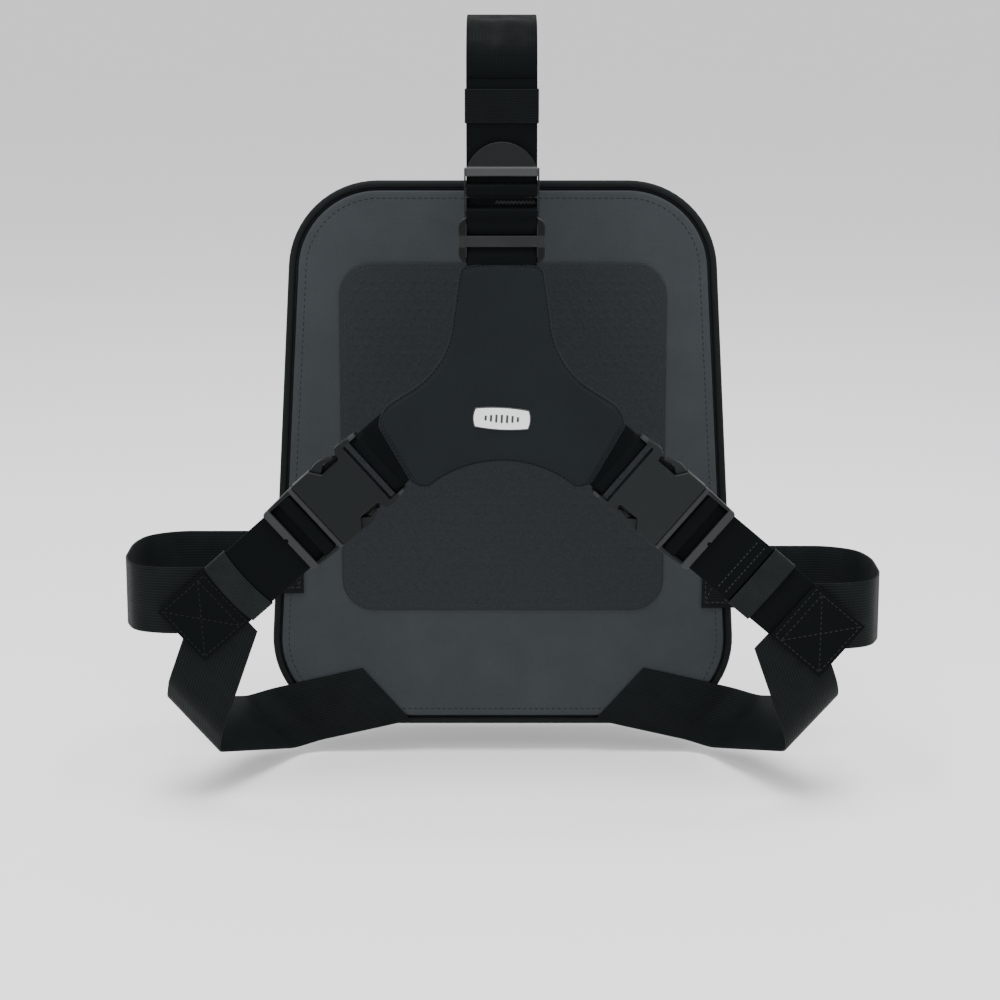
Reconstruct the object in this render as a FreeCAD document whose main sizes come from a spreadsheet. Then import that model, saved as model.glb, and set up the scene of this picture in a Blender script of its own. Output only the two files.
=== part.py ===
import FreeCAD, Part
import math
import os

# A chair back support with its three-point strap harness, in millimetres.
# Frame: +Z up, +X to the right as seen from behind the chair, +Y forwards to the sitter.
# The origin is the centre of the grip patch, the flat rear face that lies on the chair's front.
# The harness lies on the chair's rear plane, chair_depth behind the origin.
# Each harness piece has a local frame: X along its strap, Z out of the chair, so the height
# over the chair's rear plane is the local z and is called a level.

DIMENSIONS = [
    ("chair_depth", 105.0),
    ("webbing_width", 44.0),
    ("webbing_thickness", 1.5),
    ("elastic_width", 44.0),
    ("elastic_thickness", 1.4),
    ("slot_width", 44.8),
    # levels of the layers, each the face nearer to the chair
    ("side_elastic_level", 0.5),
    ("inner_panel_level", 0.5),
    ("lower_elastic_level", 2.2),
    ("yoke_foam_level", 2.2),
    ("load_ply_level", 3.9),
    ("tail_ply_level", 5.85),
    ("outer_panel_level", 6.3),
    ("label_level", 8.1),
    # yoke
    ("harness_x", -0.8),
    ("panel_thickness", 1.5),
    ("outer_panel_thickness", 1.8),
    ("yoke_foam_thickness", 3.9),
    ("yoke_rim", 2.6),
    ("label_length", 37.0),
    ("label_height", 15.0),
    ("label_thickness", 0.8),
    ("label_tilt", 3.0),
    ("label_z", 34.4),
    # side-release buckle
    ("buckle_level", 2.0),
    ("buckle_thickness", 11.0),
    ("buckle_length", 80.3),
    ("female_length", 53.5),
    ("female_wall", 2.4),
    ("cavity_width", 46.4),
    ("male_level", 5.5),
    ("male_thickness", 5.2),
    ("prong_level", 4.9),
    ("prong_thickness", 5.2),
    ("edge_round", 1.2),
    # top hardware
    ("glide_level", 4.0),
    ("glide_thickness", 4.2),
    ("glide_width", 54.2),
    ("lock_width", 46.8),
    ("tab_level", 7.6),
    ("tab_thickness", 2.0),
    # keepers
    ("keeper_length", 17.0),
    ("keeper_start", 115.0),
    ("top_keeper_length", 21.0),
    ("top_keeper_start", 219.3),
    # pad
    ("pad_width", 320.0),
    ("pad_top_width", 276.0),
    ("pad_bottom", -200.0),
    ("pad_top", 172.0),
    ("pad_corner", 58.0),
    ("rear_panel_inset", 5.0),
    ("board_inset", 12.0),
    ("cover_inset", 3.2),
    ("foam_gap", 0.4),
    ("grip_width", 220.0),
    ("grip_height", 240.0),
    ("grip_thickness", 1.5),
    ("rear_panel_thickness", 1.5),
    ("board_start", 3.3),
    ("board_thickness", 3.0),
    ("foam_start", 6.6),
    ("foam_depth", 32.4),
    ("cover_start", 3.1),
    ("cover_depth", 38.9),
    ("cover_thickness", 2.5),
    ("cover_round", 14.0),
    ("foam_round", 11.0),
    ("piping_radius", 2.6),
    ("piping_y", 5.2),
    ("lumbar_width", 262.0),
    ("lumbar_height", 128.0),
    ("lumbar_depth", 33.0),
    ("lumbar_start", 42.3),
    ("lumbar_z", -72.0),
    ("lumbar_round", 16.0),
]

doc = FreeCAD.newDocument("back_support")
sheet = doc.addObject("Spreadsheet::Sheet", "dims")
for row, (alias, number) in enumerate(DIMENSIONS, start=1):
    sheet.set(f"A{row}", alias)
    sheet.set(f"B{row}", str(number))
    sheet.setAlias(f"B{row}", alias)
doc.recompute()

SUB_PARTS = []


def dim(alias):
    return float(sheet.get(alias))


# ---------------------------------------------------------------- outlines

def vec(point):
    return FreeCAD.Vector(point[0], point[1], 0)


def rounded_outline(corners):
    """A closed outline of straight runs; each corner is (x, y) or (x, y, radius)."""
    count = len(corners)
    starts = []
    ends = []
    mids = []
    for index, corner in enumerate(corners):
        here = vec(corner)
        radius = corner[2] if len(corner) > 2 else 0.0
        back = (vec(corners[index - 1]) - here).normalize()
        ahead = (vec(corners[(index + 1) % count]) - here).normalize()
        half = back.getAngle(ahead) / 2
        reach = radius / math.tan(half) if radius else 0.0
        starts.append(here + back * reach)
        ends.append(here + ahead * reach)
        if radius:
            centre = here + (back + ahead).normalize() * (radius / math.sin(half))
            mids.append(centre + (here - centre).normalize() * radius)
        else:
            mids.append(None)
    edges = []
    for index in range(count):
        if mids[index] is not None:
            edges.append(Part.Arc(starts[index], mids[index], ends[index]).toShape())
        following = starts[(index + 1) % count]
        if (following - ends[index]).Length > 1e-6:
            edges.append(Part.LineSegment(ends[index], following).toShape())
    return Part.Wire(edges)


def box_outline(x_low, x_high, y_low, y_high, radius=0.0):
    corners = [(x_low, y_low), (x_high, y_low), (x_high, y_high), (x_low, y_high)]
    return rounded_outline([(x, y, radius) for x, y in corners])


def traced_outline(start, steps):
    """A closed outline of steps; a step is one end point, or a mid point and an end point of an arc."""
    edges = []
    here = vec(start)
    for step in steps:
        end = vec(step[-1])
        if len(step) == 2:
            edges.append(Part.Arc(here, vec(step[0]), end).toShape())
        else:
            edges.append(Part.LineSegment(here, end).toShape())
        here = end
    return Part.Wire(edges)


def ribbon_outline(points, thickness):
    """The edge view of a band: a centre line of straight runs joined by arcs, with its thickness."""
    run_share = 0.45
    sides = {1: [], -1: []}
    bends = []
    for index in range(1, len(points) - 1):
        here = vec(points[index])
        back = vec(points[index - 1]) - here
        ahead = vec(points[index + 1]) - here
        turn = math.pi - back.getAngle(ahead)
        reach = run_share * min(back.Length, ahead.Length)
        radius = reach / math.tan(turn / 2)
        back.normalize()
        ahead.normalize()
        centre = here + (back + ahead).normalize() * math.hypot(radius, reach)
        hand = 1 if back.x * ahead.y - back.y * ahead.x < 0 else -1
        bends.append((here + back * reach, here, here + ahead * reach, centre, radius, hand))
    for side in (1, -1):
        path = [("end", vec(points[0]), vec(points[1]))]
        for start, corner, stop, centre, radius, hand in bends:
            offset_radius = radius - side * hand * thickness / 2
            spots = []
            for spot in (start, corner, stop):
                spots.append(centre + (spot - centre).normalize() * offset_radius)
            path.append(("arc", *spots))
        path.append(("end", vec(points[-1]), vec(points[-2])))
        sides[side] = path

    def end_spot(entry, side):
        here, neighbour = entry[1], entry[2]
        along = (neighbour - here).normalize()
        left = FreeCAD.Vector(-along.y, along.x, 0)
        return here + left * (side * thickness / 2)

    edges = []
    corners = []
    for side in (1, -1):
        path = sides[side]
        here = end_spot(path[0], side)
        first = here
        run = []
        for entry in path[1:-1]:
            if (entry[1] - here).Length > 1e-6:
                run.append(Part.LineSegment(here, entry[1]).toShape())
            run.append(Part.Arc(entry[1], entry[2], entry[3]).toShape())
            here = entry[3]
        last = end_spot(path[-1], -side)
        run.append(Part.LineSegment(here, last).toShape())
        edges.append(run)
        corners.append((first, last))
    caps = [
        Part.LineSegment(corners[0][0], corners[1][0]).toShape(),
        Part.LineSegment(corners[0][1], corners[1][1]).toShape(),
    ]
    return Part.Wire(Part.__sortEdges__(edges[0] + edges[1] + caps))


# ---------------------------------------------------------------- features

def new_body(label, placement=None):
    body = doc.addObject("PartDesign::Body", label)
    body.Label = label
    body.Placement = placement or FreeCAD.Placement()
    SUB_PARTS.append(body)
    return body


def new_sketch(body, role, wires, offset=None):
    sketch = body.newObject("Sketcher::SketchObject", body.Label + "_sketch")
    plane = next(item for item in body.Origin.OriginFeatures if item.Role == role)
    sketch.AttachmentSupport = [(plane, "")]
    sketch.MapMode = "FlatFace"
    if offset:
        sketch.setExpression("AttachmentOffset.Base.z", offset)
    for wire in wires:
        for edge in wire.Edges:
            first, last = edge.ParameterRange
            start, end = edge.valueAt(first), edge.valueAt(last)
            if isinstance(edge.Curve, Part.Line):
                sketch.addGeometry(Part.LineSegment(start, end), False)
            elif (start - end).Length < 1e-6:
                sketch.addGeometry(edge.Curve, False)
            else:
                sketch.addGeometry(Part.Arc(start, edge.valueAt((first + last) / 2), end), False)
    return sketch


def add_pad(body, sketch, length, midplane=False, reverse=False):
    pad = body.newObject("PartDesign::Pad", body.Label + "_pad")
    pad.Profile = sketch
    pad.setExpression("Length", length)
    pad.Midplane = midplane
    pad.Reversed = reverse
    doc.recompute()
    return pad


def add_pocket(body, sketch, length, midplane=False, reverse=False):
    before = body.Shape.Volume
    pocket = body.newObject("PartDesign::Pocket", body.Label + "_pocket")
    pocket.Profile = sketch
    pocket.setExpression("Length", length)
    pocket.Midplane = midplane
    pocket.Reversed = reverse
    doc.recompute()
    if body.Shape.Volume > before - 1.0:
        raise RuntimeError(f"{body.Label}: the pocket cuts nothing")
    return pocket


def add_fillet(body, radius, wanted):
    """Rounds the edges of the body's tip whose box passes the test."""
    tip = body.Tip
    names = []
    for index, edge in enumerate(tip.Shape.Edges, start=1):
        if wanted(edge.BoundBox):
            names.append(f"Edge{index}")
    fillet = body.newObject("PartDesign::Fillet", body.Label + "_fillet")
    fillet.Base = (tip, names)
    fillet.setExpression("Radius", radius)
    doc.recompute()
    return fillet


def hollow_out(body, wall):
    """Opens the face in the body's own XZ plane and leaves a shell of the given wall."""
    tip = body.Tip
    names = []
    for index, face in enumerate(tip.Shape.Faces, start=1):
        box = face.BoundBox
        if abs(box.YMin) < 1e-4 and abs(box.YMax) < 1e-4:
            names.append(f"Face{index}")
    before = tip.Shape.Volume
    shell = body.newObject("PartDesign::Thickness", body.Label + "_shell")
    shell.Base = (tip, names)
    shell.setExpression("Value", wall)
    shell.Reversed = True
    doc.recompute()
    if not 0 < shell.Shape.Volume < before / 2:
        raise RuntimeError(f"{body.Label}: the shell isn't hollow")


def flat_edges(level):
    return lambda box: abs(box.ZMin - level) < 1e-4 and abs(box.ZMax - level) < 1e-4


def rear_frame(x, z, along):
    """Local frame on the chair's rear plane: X along the strap, Z out of the chair."""
    x_axis = FreeCAD.Vector(along[0], 0, along[1]).normalize()
    z_axis = FreeCAD.Vector(0, -1, 0)
    y_axis = z_axis.cross(x_axis)
    rotation = FreeCAD.Rotation(x_axis, y_axis, z_axis, "XYZ")
    return FreeCAD.Placement(FreeCAD.Vector(x, -dim("chair_depth"), z), rotation)


def add_band(label, placement, points, thickness, width):
    """Webbing or elastic: its edge view drawn in the local XZ plane, padded across its width."""
    body = new_body(label, placement)
    sketch = new_sketch(body, "XZ_Plane", [ribbon_outline(points, dim(thickness))])
    add_pad(body, sketch, "dims." + width, midplane=True)
    return body


def add_sleeve(label, placement, start, length):
    """An elastic loop round both plies of a strap."""
    body = new_body(label, placement)
    wall = 1.2
    gap = 0.4
    half = dim("webbing_width") / 2 + gap
    low = dim("load_ply_level") - gap
    high = dim("tail_ply_level") + dim("webbing_thickness") + gap
    inner = box_outline(-half, half, low, high, 0.8)
    outer = box_outline(-half - wall, half + wall, low - wall, high + wall, 1.9)
    sketch = new_sketch(body, "YZ_Plane", [outer, inner], "dims." + start)
    add_pad(body, sketch, "dims." + length)
    return body


# ---------------------------------------------------------------- harness: common frames

UP = rear_frame(dim("harness_x"), 0.0, (0.0, 1.0))

# Depth of the middle of a ply that is sewn onto the pad's rear border.
FRONT_PLY = 0.7

# Each side: the middle of the buckle's inner end, the way the strap runs, the strap's and the
# tail's far ends along it, the side elastic's height and where it starts, how far before its
# rear fold the lower elastic starts, and -1 for left or 1 for right.
SIDES = {
    "left": {"x": -77.7, "z": 7.4, "along": (-0.7455, -0.6665), "strap": 174.0, "tail": 128.0,
             "elastic_z": -86.0, "elastic_from": 186.0, "lower_from": 72.0, "hand": -1},
    "right": {"x": 71.75, "z": 6.1, "along": (0.7627, -0.6468), "strap": 193.0, "tail": 114.2,
              "elastic_z": -96.5, "elastic_from": 192.0, "lower_from": 60.0, "hand": 1},
}


def ply_middle(level):
    return dim(level) + dim("webbing_thickness") / 2


# ---------------------------------------------------------------- yoke

def yoke_wire():
    """The three-lobed outline about x = 0: arched top, hollow sides, two lobes and a hollow bottom."""
    return traced_outline((-21.0, 128.6), [
        ((0.0, 130.6), (21.0, 128.6)),
        ((23.3, 127.5), (24.3, 125.0)),
        ((28.5, 96.0),),
        ((36.8, 69.9), (57.5, 49.6)),
        ((67.9, 43.0),),
        ((73.4, 37.4), (75.6, 29.0)),
        ((57.6, -2.6),),
        ((54.0, -6.6), (46.7, -7.6)),
        ((0.0, 8.7), (-46.7, -7.6)),
        ((-54.0, -6.6), (-57.6, -2.6)),
        ((-75.6, 29.0),),
        ((-73.4, 37.4), (-67.9, 43.0)),
        ((-57.5, 49.6),),
        ((-36.8, 69.9), (-28.5, 96.0)),
        ((-24.3, 125.0),),
        ((-23.3, 127.5), (-21.0, 128.6)),
    ])


def harness_centre():
    return rear_frame(dim("harness_x"), 0.0, (1.0, 0.0))


def add_plate(label, wires, level, thickness):
    body = new_body(label, harness_centre())
    sketch = new_sketch(body, "XY_Plane", wires, "dims." + level)
    add_pad(body, sketch, "dims." + thickness)
    return body


def add_yoke():
    outer = yoke_wire()
    inner = outer.makeOffset2D(dim("yoke_rim"))
    add_plate("yoke_outer_panel", [outer], "outer_panel_level", "outer_panel_thickness")
    add_plate("yoke_inner_panel", [inner], "inner_panel_level", "panel_thickness")
    # the foam fills the middle, between the webbing ends sewn into the three lobes
    foam = rounded_outline([
        (-21.0, 96.0, 6.0), (21.0, 96.0, 6.0), (28.0, 66.0, 8.0), (46.0, 47.0, 6.0),
        (34.0, 22.0, 6.0), (30.0, 10.0, 4.0), (-30.0, 10.0, 4.0), (-34.0, 22.0, 6.0),
        (-46.0, 47.0, 6.0), (-28.0, 66.0, 8.0),
    ])
    add_plate("yoke_foam", [foam], "yoke_foam_level", "yoke_foam_thickness")


def add_label():
    """A small barrel-shaped badge, tilted a little."""
    half_length = dim("label_length") / 2
    half_height = dim("label_height") / 2
    bow = 1.2
    wire = traced_outline((-half_length + bow, -half_height + bow), [
        ((0.0, -half_height), (half_length - bow, -half_height + bow)),
        ((half_length, 0.0), (half_length - bow, half_height - bow)),
        ((0.0, half_height), (-half_length + bow, half_height - bow)),
        ((-half_length, 0.0), (-half_length + bow, -half_height + bow)),
    ])
    tilt = math.radians(dim("label_tilt"))
    placement = rear_frame(dim("harness_x"), dim("label_z"), (math.cos(tilt), -math.sin(tilt)))
    body = new_body("yoke_label", placement)
    sketch = new_sketch(body, "XY_Plane", [wire], "dims.label_level")
    add_pad(body, sketch, "dims.label_thickness")


# ---------------------------------------------------------------- top strap and its hardware

YOKE_PLY = 5.3
BACK_PLY = 2.95
MID_BAR = (176.0, 180.5, 5.8, 9.3)
TOP_BAR = (186.9, 192.8, 7.7, 11.3)
ANCHOR_BAR = (162.1, 165.3, 5.4, 8.5)
LOCK_RAILS = (161.35, 192.0, 4.6, 9.3)


def add_top_strap():
    """Down the chair's front to the pad, over its top, round the lock's middle bar and back up."""
    load = ply_middle("load_ply_level")
    tail = ply_middle("tail_ply_level")
    pad_side = -dim("chair_depth") - FRONT_PLY
    bar_gap = 1.05
    before = MID_BAR[0] - bar_gap
    after = MID_BAR[1] + bar_gap
    over = MID_BAR[3] + bar_gap
    points = [
        (128.0, pad_side), (238.0, pad_side), (266.0, pad_side + 5.0), (280.0, pad_side + 24.0),
        (284.4, pad_side + 54.0), (279.5, pad_side + 90.0), (266.0, load - 4.5), (244.0, load),
        (before, load), (before, over), (after, over), (after, tail), (246.0, tail),
    ]
    add_band("top_strap", UP, points, "webbing_thickness", "webbing_width")


def add_link_webbing():
    """Two plies from the yoke, through the glide, round the lock's anchor bar."""
    points = [
        (100.0, YOKE_PLY), (130.6, YOKE_PLY), (133.2, 6.75), (136.6, 6.75), (142.0, 4.75),
        (150.6, 4.75), (156.0, 7.45), (161.0, 7.45), (162.6, 9.55), (166.6, 9.55),
        (166.6, BACK_PLY), (100.0, BACK_PLY),
    ]
    add_band("link_webbing", UP, points, "webbing_thickness", "webbing_width")


def add_ladder_lock():
    body = new_body("ladder_lock", UP)
    round_end = 2.3
    low, high, floor, roof = LOCK_RAILS
    rails = rounded_outline([
        (low, floor, round_end), (high, floor, 1.0), (high, roof, 1.0), (low, roof, round_end),
    ])
    add_pad(body, new_sketch(body, "XZ_Plane", [rails]), "dims.lock_width", midplane=True)
    opening = box_outline(low - 1.0, TOP_BAR[0], floor - 1.0, roof + 1.0)
    under_tab = [
        box_outline(*ANCHOR_BAR, 1.5),
        box_outline(*MID_BAR, 1.4),
    ]
    way = new_sketch(body, "XZ_Plane", [opening] + under_tab)
    add_pocket(body, way, "dims.slot_width", midplane=True)
    beneath = box_outline(TOP_BAR[0] - 1.0, high + 1.0, floor - 1.0, TOP_BAR[2])
    add_pocket(body, new_sketch(body, "XZ_Plane", [beneath]), "dims.slot_width", midplane=True)
    grip = new_sketch(body, "XZ_Plane", [box_outline(*TOP_BAR, 1.6)])
    add_pad(body, grip, "dims.webbing_width", midplane=True)
    half = 21.2
    tab = traced_outline((TOP_BAR[1] - 1.5, -half), [
        ((TOP_BAR[1] + 0.5, -half),),
        ((TOP_BAR[1] + 15.2, 0.0), (TOP_BAR[1] + 0.5, half)),
        ((TOP_BAR[1] - 1.5, half),),
        ((TOP_BAR[1] - 1.5, -half),),
    ])
    add_pad(body, new_sketch(body, "XY_Plane", [tab], "dims.tab_level"), "dims.tab_thickness")


def add_tri_glide():
    body = new_body("tri_glide", UP)
    low, high = 132.4, 160.8
    half = dim("glide_width") / 2
    level = dim("glide_level")
    outline = box_outline(low, high, -half, half, 6.0)
    add_pad(body, new_sketch(body, "XY_Plane", [outline], "dims.glide_level"), "dims.glide_thickness")
    add_fillet(body, "dims.edge_round", flat_edges(level + dim("glide_thickness")))
    # the webbing's way: over the two end bars and under the middle one
    first_bar, first_top = low + 3.6, 5.3
    last_bar, last_top = 156.8, 6.4
    floor, roof = level - 1.0, level + 5.2
    way = rounded_outline([
        (low - 1.0, first_top), (first_bar, first_top), (first_bar, floor), (last_bar, floor),
        (last_bar, last_top), (high + 1.0, last_top), (high + 1.0, roof), (low - 1.0, roof),
    ])
    middle_bar = box_outline(142.7, 149.9, 5.8, 8.0, 0.9)
    sketch = new_sketch(body, "XZ_Plane", [way, middle_bar])
    add_pocket(body, sketch, "dims.slot_width", midplane=True)


# ---------------------------------------------------------------- side straps and buckles

END_BAR = (1.2, 5.4, 5.0, 8.4)
MALE_BAR = (61.0, 65.5, 5.8, 9.3)
OUTER_BAR_FROM = 75.0
OUTER_BAR_LEVEL = 7.7


def add_yoke_webbing(side, frame):
    """A short doubled length round the buckle's end bar, sewn into the yoke's lobe."""
    leg = END_BAR[1] + 1.35
    over = 10.05
    points = [(-22.0, YOKE_PLY), (-2.0, YOKE_PLY), (1.2, over), (leg, over), (leg, BACK_PLY),
              (-22.0, BACK_PLY)]
    add_band(f"{side}_yoke_webbing", frame, points, "webbing_thickness", "webbing_width")


def add_buckle_female(side, frame):
    body = new_body(f"{side}_buckle_female", frame)
    mouth = dim("female_length")
    upper = [(0.0, 24.0, 1.5), (13.0, 25.8, 8.0), (17.6, 25.6, 2.5), (19.0, 18.4, 1.5),
             (33.5, 18.4, 2.0), (38.6, 25.4, 1.0), (mouth, 25.4, 0.6)]
    lower = [(corner[0], -corner[1], corner[2]) for corner in reversed(upper)]
    outline = rounded_outline(upper + lower)
    add_pad(body, new_sketch(body, "XY_Plane", [outline], "dims.buckle_level"),
            "dims.buckle_thickness")
    top = dim("buckle_level") + dim("buckle_thickness")
    add_fillet(body, "dims.edge_round", flat_edges(top))
    floor_half = 21.5
    floor = new_sketch(body, "XY_Plane", [box_outline(17.0, 39.0, -floor_half, floor_half)],
                       "dims.buckle_level")
    add_pad(body, floor, "dims.female_wall")
    way = box_outline(-1.0, 12.0, 1.0, top + 1.0)
    add_pocket(body, new_sketch(body, "XZ_Plane", [way, box_outline(*END_BAR, 1.6)]),
               "dims.slot_width", midplane=True)
    wall = dim("female_wall")
    cavity = box_outline(18.5, mouth + 1.0, dim("buckle_level") + wall, top - wall)
    add_pocket(body, new_sketch(body, "XZ_Plane", [cavity]), "dims.cavity_width", midplane=True)


def add_buckle_male(side, frame):
    body = new_body(f"{side}_buckle_male", frame)
    inner, outer = dim("female_length") + 0.3, dim("buckle_length")
    half_in, half_out = 25.2, 23.9
    notch = 1.4
    outline = rounded_outline([
        (inner, -half_in, 0.8), (outer, -half_out, 2.0), (outer, -3.0), (outer - notch, -2.2),
        (outer - notch, -0.8), (outer, 0.0), (outer, half_out, 2.0), (inner, half_in, 0.8),
    ])
    add_pad(body, new_sketch(body, "XY_Plane", [outline], "dims.male_level"), "dims.male_thickness")
    top = dim("male_level") + dim("male_thickness")
    add_fillet(body, "dims.edge_round", flat_edges(top))
    cross_bar = 3.4
    way = rounded_outline([
        (inner + cross_bar, 5.0), (outer + 1.0, 5.0), (outer + 1.0, OUTER_BAR_LEVEL),
        (OUTER_BAR_FROM, OUTER_BAR_LEVEL), (OUTER_BAR_FROM, top + 1.0),
        (inner + cross_bar, top + 1.0),
    ])
    add_pocket(body, new_sketch(body, "XZ_Plane", [way, box_outline(*MALE_BAR, 1.4)]),
               "dims.slot_width", midplane=True)
    # the block and guide tongue that enter the female between the prongs
    half_block, half_flange = 12.5, 22.8
    upper = [(inner + 1.0, half_flange), (inner - 1.8, half_flange), (inner - 1.8, half_block),
             (44.0, half_block, 2.0), (41.0, 5.5, 2.0), (24.0, 4.0, 3.0)]
    lower = [(corner[0], -corner[1], *corner[2:]) for corner in reversed(upper)]
    block = new_sketch(body, "XY_Plane", [rounded_outline(upper + lower)], "dims.prong_level")
    add_pad(body, block, "dims.prong_thickness")


def add_prongs(side, frame, side_hand):
    """The two sprung prongs, one each side of the tongue, whose thumb bulges fill the windows."""
    for name, hand in (("upper", side_hand), ("lower", -side_hand)):
        body = new_body(f"{side}_prong_{name}", frame)
        steps = [
            ((51.4, 19.6),),
            ((39.4, 22.2),),
            ((36.5, 22.8),),
            ((37.6, 25.0),),
            ((30.5, 26.0), (22.4, 22.6)),
            ((21.0, 21.6), (21.8, 21.0)),
            ((29.0, 22.6),),
            ((33.0, 19.6),),
            ((51.4, 14.6),),
        ]
        mirrored = [[(x, hand * y) for x, y in step] for step in steps]
        outline = traced_outline((51.4, hand * 14.6), mirrored)
        add_pad(body, new_sketch(body, "XY_Plane", [outline], "dims.prong_level"),
                "dims.prong_thickness")


def add_side_strap(side, frame, spec):
    """The adjustable strap: sewn end, round the male's middle bar, and back out as the tail."""
    load = ply_middle("load_ply_level")
    tail = ply_middle("tail_ply_level")
    before = MALE_BAR[0] - 2.0
    after = MALE_BAR[1] + 2.0
    over = MALE_BAR[3] + 1.05
    points = [(spec["strap"], load), (before, load), (before, over), (after, over), (after, tail),
              (spec["tail"], tail)]
    add_band(f"{side}_strap", frame, points, "webbing_thickness", "webbing_width")


# ---------------------------------------------------------------- elastics

SIDE_REACH = 247.0


def add_side_elastic(side, spec):
    """Level band from under the strap's end, round the chair's side, to the pad's rear border."""
    hand = spec["hand"]
    rear = -dim("chair_depth") - dim("side_elastic_level") - dim("elastic_thickness") / 2
    front = FRONT_PLY
    points = [
        (hand * spec["elastic_from"], rear), (hand * 221.0, rear), (hand * 239.0, rear + 7.0),
        (hand * SIDE_REACH, rear + 28.0), (hand * (SIDE_REACH + 0.6), front - 36.0),
        (hand * 241.0, front - 12.0), (hand * 222.0, front), (hand * 137.0, front),
    ]
    body = new_body(f"{side}_side_elastic", FreeCAD.Placement(
        FreeCAD.Vector(0, 0, spec["elastic_z"]), FreeCAD.Rotation()))
    sketch = new_sketch(body, "XY_Plane", [ribbon_outline(points, dim("elastic_thickness"))])
    add_pad(body, sketch, "dims.elastic_width", midplane=True)


def rounded_run(points, radius, steps):
    """An open path of straight runs as a list of (x, y), its inner corners rounded."""
    path = [points[0]]
    for before, corner, after in zip(points, points[1:], points[2:]):
        here = vec(corner)
        back = (vec(before) - here).normalize()
        ahead = (vec(after) - here).normalize()
        half = back.getAngle(ahead) / 2
        centre = here + (back + ahead).normalize() * (radius / math.sin(half))
        arm = here + back * (radius / math.tan(half)) - centre
        hand = 1 if back.x * ahead.y - back.y * ahead.x < 0 else -1
        for step in range(steps + 1):
            angle = hand * (math.pi - 2 * half) * step / steps
            path.append((centre.x + arm.x * math.cos(angle) - arm.y * math.sin(angle),
                         centre.y + arm.x * math.sin(angle) + arm.y * math.cos(angle)))
    path.append(points[-1])
    return path


def add_lower_elastic(side, spec):
    """A band that folds over the chair's lower corner along parallel slanted fold lines.

    Every cross line of the band is parallel to the folds, so the band is flat between them. Its
    profile is drawn square to the folds, as the way inwards from the rear fold and the depth Y.
    """
    hand = spec["hand"]
    fold = FreeCAD.Vector(hand * 201.5, 0, -153.0)
    fold_line = FreeCAD.Vector(-hand * 0.665, 0, -0.747)
    inwards = FreeCAD.Vector(-hand * 0.747, 0, 0.665)
    drift = 0.55
    half_section = dim("elastic_width") / 2 * math.hypot(1.0, drift)
    rear = -dim("chair_depth") - dim("lower_elastic_level")
    front = 0.0
    bend = 6.0
    bend_steps = 6
    start = spec["lower_from"] / math.hypot(1.0, drift)
    # past the rear fold the band slopes outwards over the chair's rounded corner before it runs
    # forwards, a little inwards, to the pad
    slope_out, slope_depth = 15.0, 14.0
    front_corner, front_end = 4.0, 72.0
    profile = rounded_run([
        (start, rear), (0.0, rear), (-slope_out, rear + slope_depth), (front_corner, front),
        (front_end, front),
    ], bend, bend_steps)
    lengths = [0.0]
    for here, there in zip(profile, profile[1:]):
        lengths.append(lengths[-1] + math.dist(here, there))
    at_fold = start - bend

    def offset_profile(amount):
        moved = []
        for index, point in enumerate(profile):
            before = profile[max(index - 1, 0)]
            after = profile[min(index + 1, len(profile) - 1)]
            along = FreeCAD.Vector(after[0] - before[0], after[1] - before[1], 0).normalize()
            moved.append((point[0] - along.y * amount, point[1] + along.x * amount))
        return moved

    def corners(points, end):
        spots = []
        for (depth_in, depth_y), length in zip(points, lengths):
            spot = fold + inwards * depth_in + fold_line * (drift * (length - at_fold) + end)
            spots.append(FreeCAD.Vector(spot.x, depth_y, spot.z))
        return spots

    thick = dim("elastic_thickness")
    inner, outer = offset_profile(0.0), offset_profile(thick)
    loops = []
    for end in (-half_section, half_section):
        loops.append((corners(inner, end), corners(outer, end)))
    faces = []

    def quad(*spots):
        faces.append(Part.Face(Part.makePolygon(list(spots) + [spots[0]])))

    (low_in, low_out), (high_in, high_out) = loops
    last = len(profile) - 1
    for index in range(last):
        ahead = index + 1
        quad(low_in[index], low_in[ahead], high_in[ahead], high_in[index])
        quad(low_out[index], low_out[ahead], high_out[ahead], high_out[index])
        for inner_edge, outer_edge in ((low_in, low_out), (high_in, high_out)):
            faces.append(Part.Face(Part.makePolygon(
                [inner_edge[index], inner_edge[ahead], outer_edge[ahead], inner_edge[index]])))
            faces.append(Part.Face(Part.makePolygon(
                [inner_edge[index], outer_edge[ahead], outer_edge[index], inner_edge[index]])))
    quad(low_in[0], low_out[0], high_out[0], high_in[0])
    quad(low_in[last], low_out[last], high_out[last], high_in[last])
    solid = Part.makeSolid(Part.makeShell(faces))
    if solid.Volume < 0:
        solid.reverse()
    feature = doc.addObject("Part::Feature", f"{side}_lower_elastic")
    feature.Label = f"{side}_lower_elastic"
    feature.Shape = solid
    feature.Placement = FreeCAD.Placement()
    SUB_PARTS.append(feature)


# ---------------------------------------------------------------- pad

def pad_wire(inset):
    """The pad seen from behind: wider at the lumbar, narrower at the top, large corners."""
    wide = dim("pad_width") / 2 - inset
    narrow = dim("pad_top_width") / 2 - inset
    low = dim("pad_bottom") + inset
    high = dim("pad_top") - inset
    corner = dim("pad_corner") - inset
    return rounded_outline([
        (-wide, low, corner), (wide, low, corner), (narrow, high, corner), (-narrow, high, corner),
    ])


def add_pad_plate(label, wire, start, depth):
    """A plate square to Y: its sketch is in the XZ plane and it is padded forwards."""
    body = new_body(label, FreeCAD.Placement(FreeCAD.Vector(0, start, 0), FreeCAD.Rotation()))
    add_pad(body, new_sketch(body, "XZ_Plane", [wire]), "dims." + depth, reverse=True)
    return body


def front_edges(level):
    return lambda box: abs(box.YMin - level) < 1e-4 and abs(box.YMax - level) < 1e-4


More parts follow.
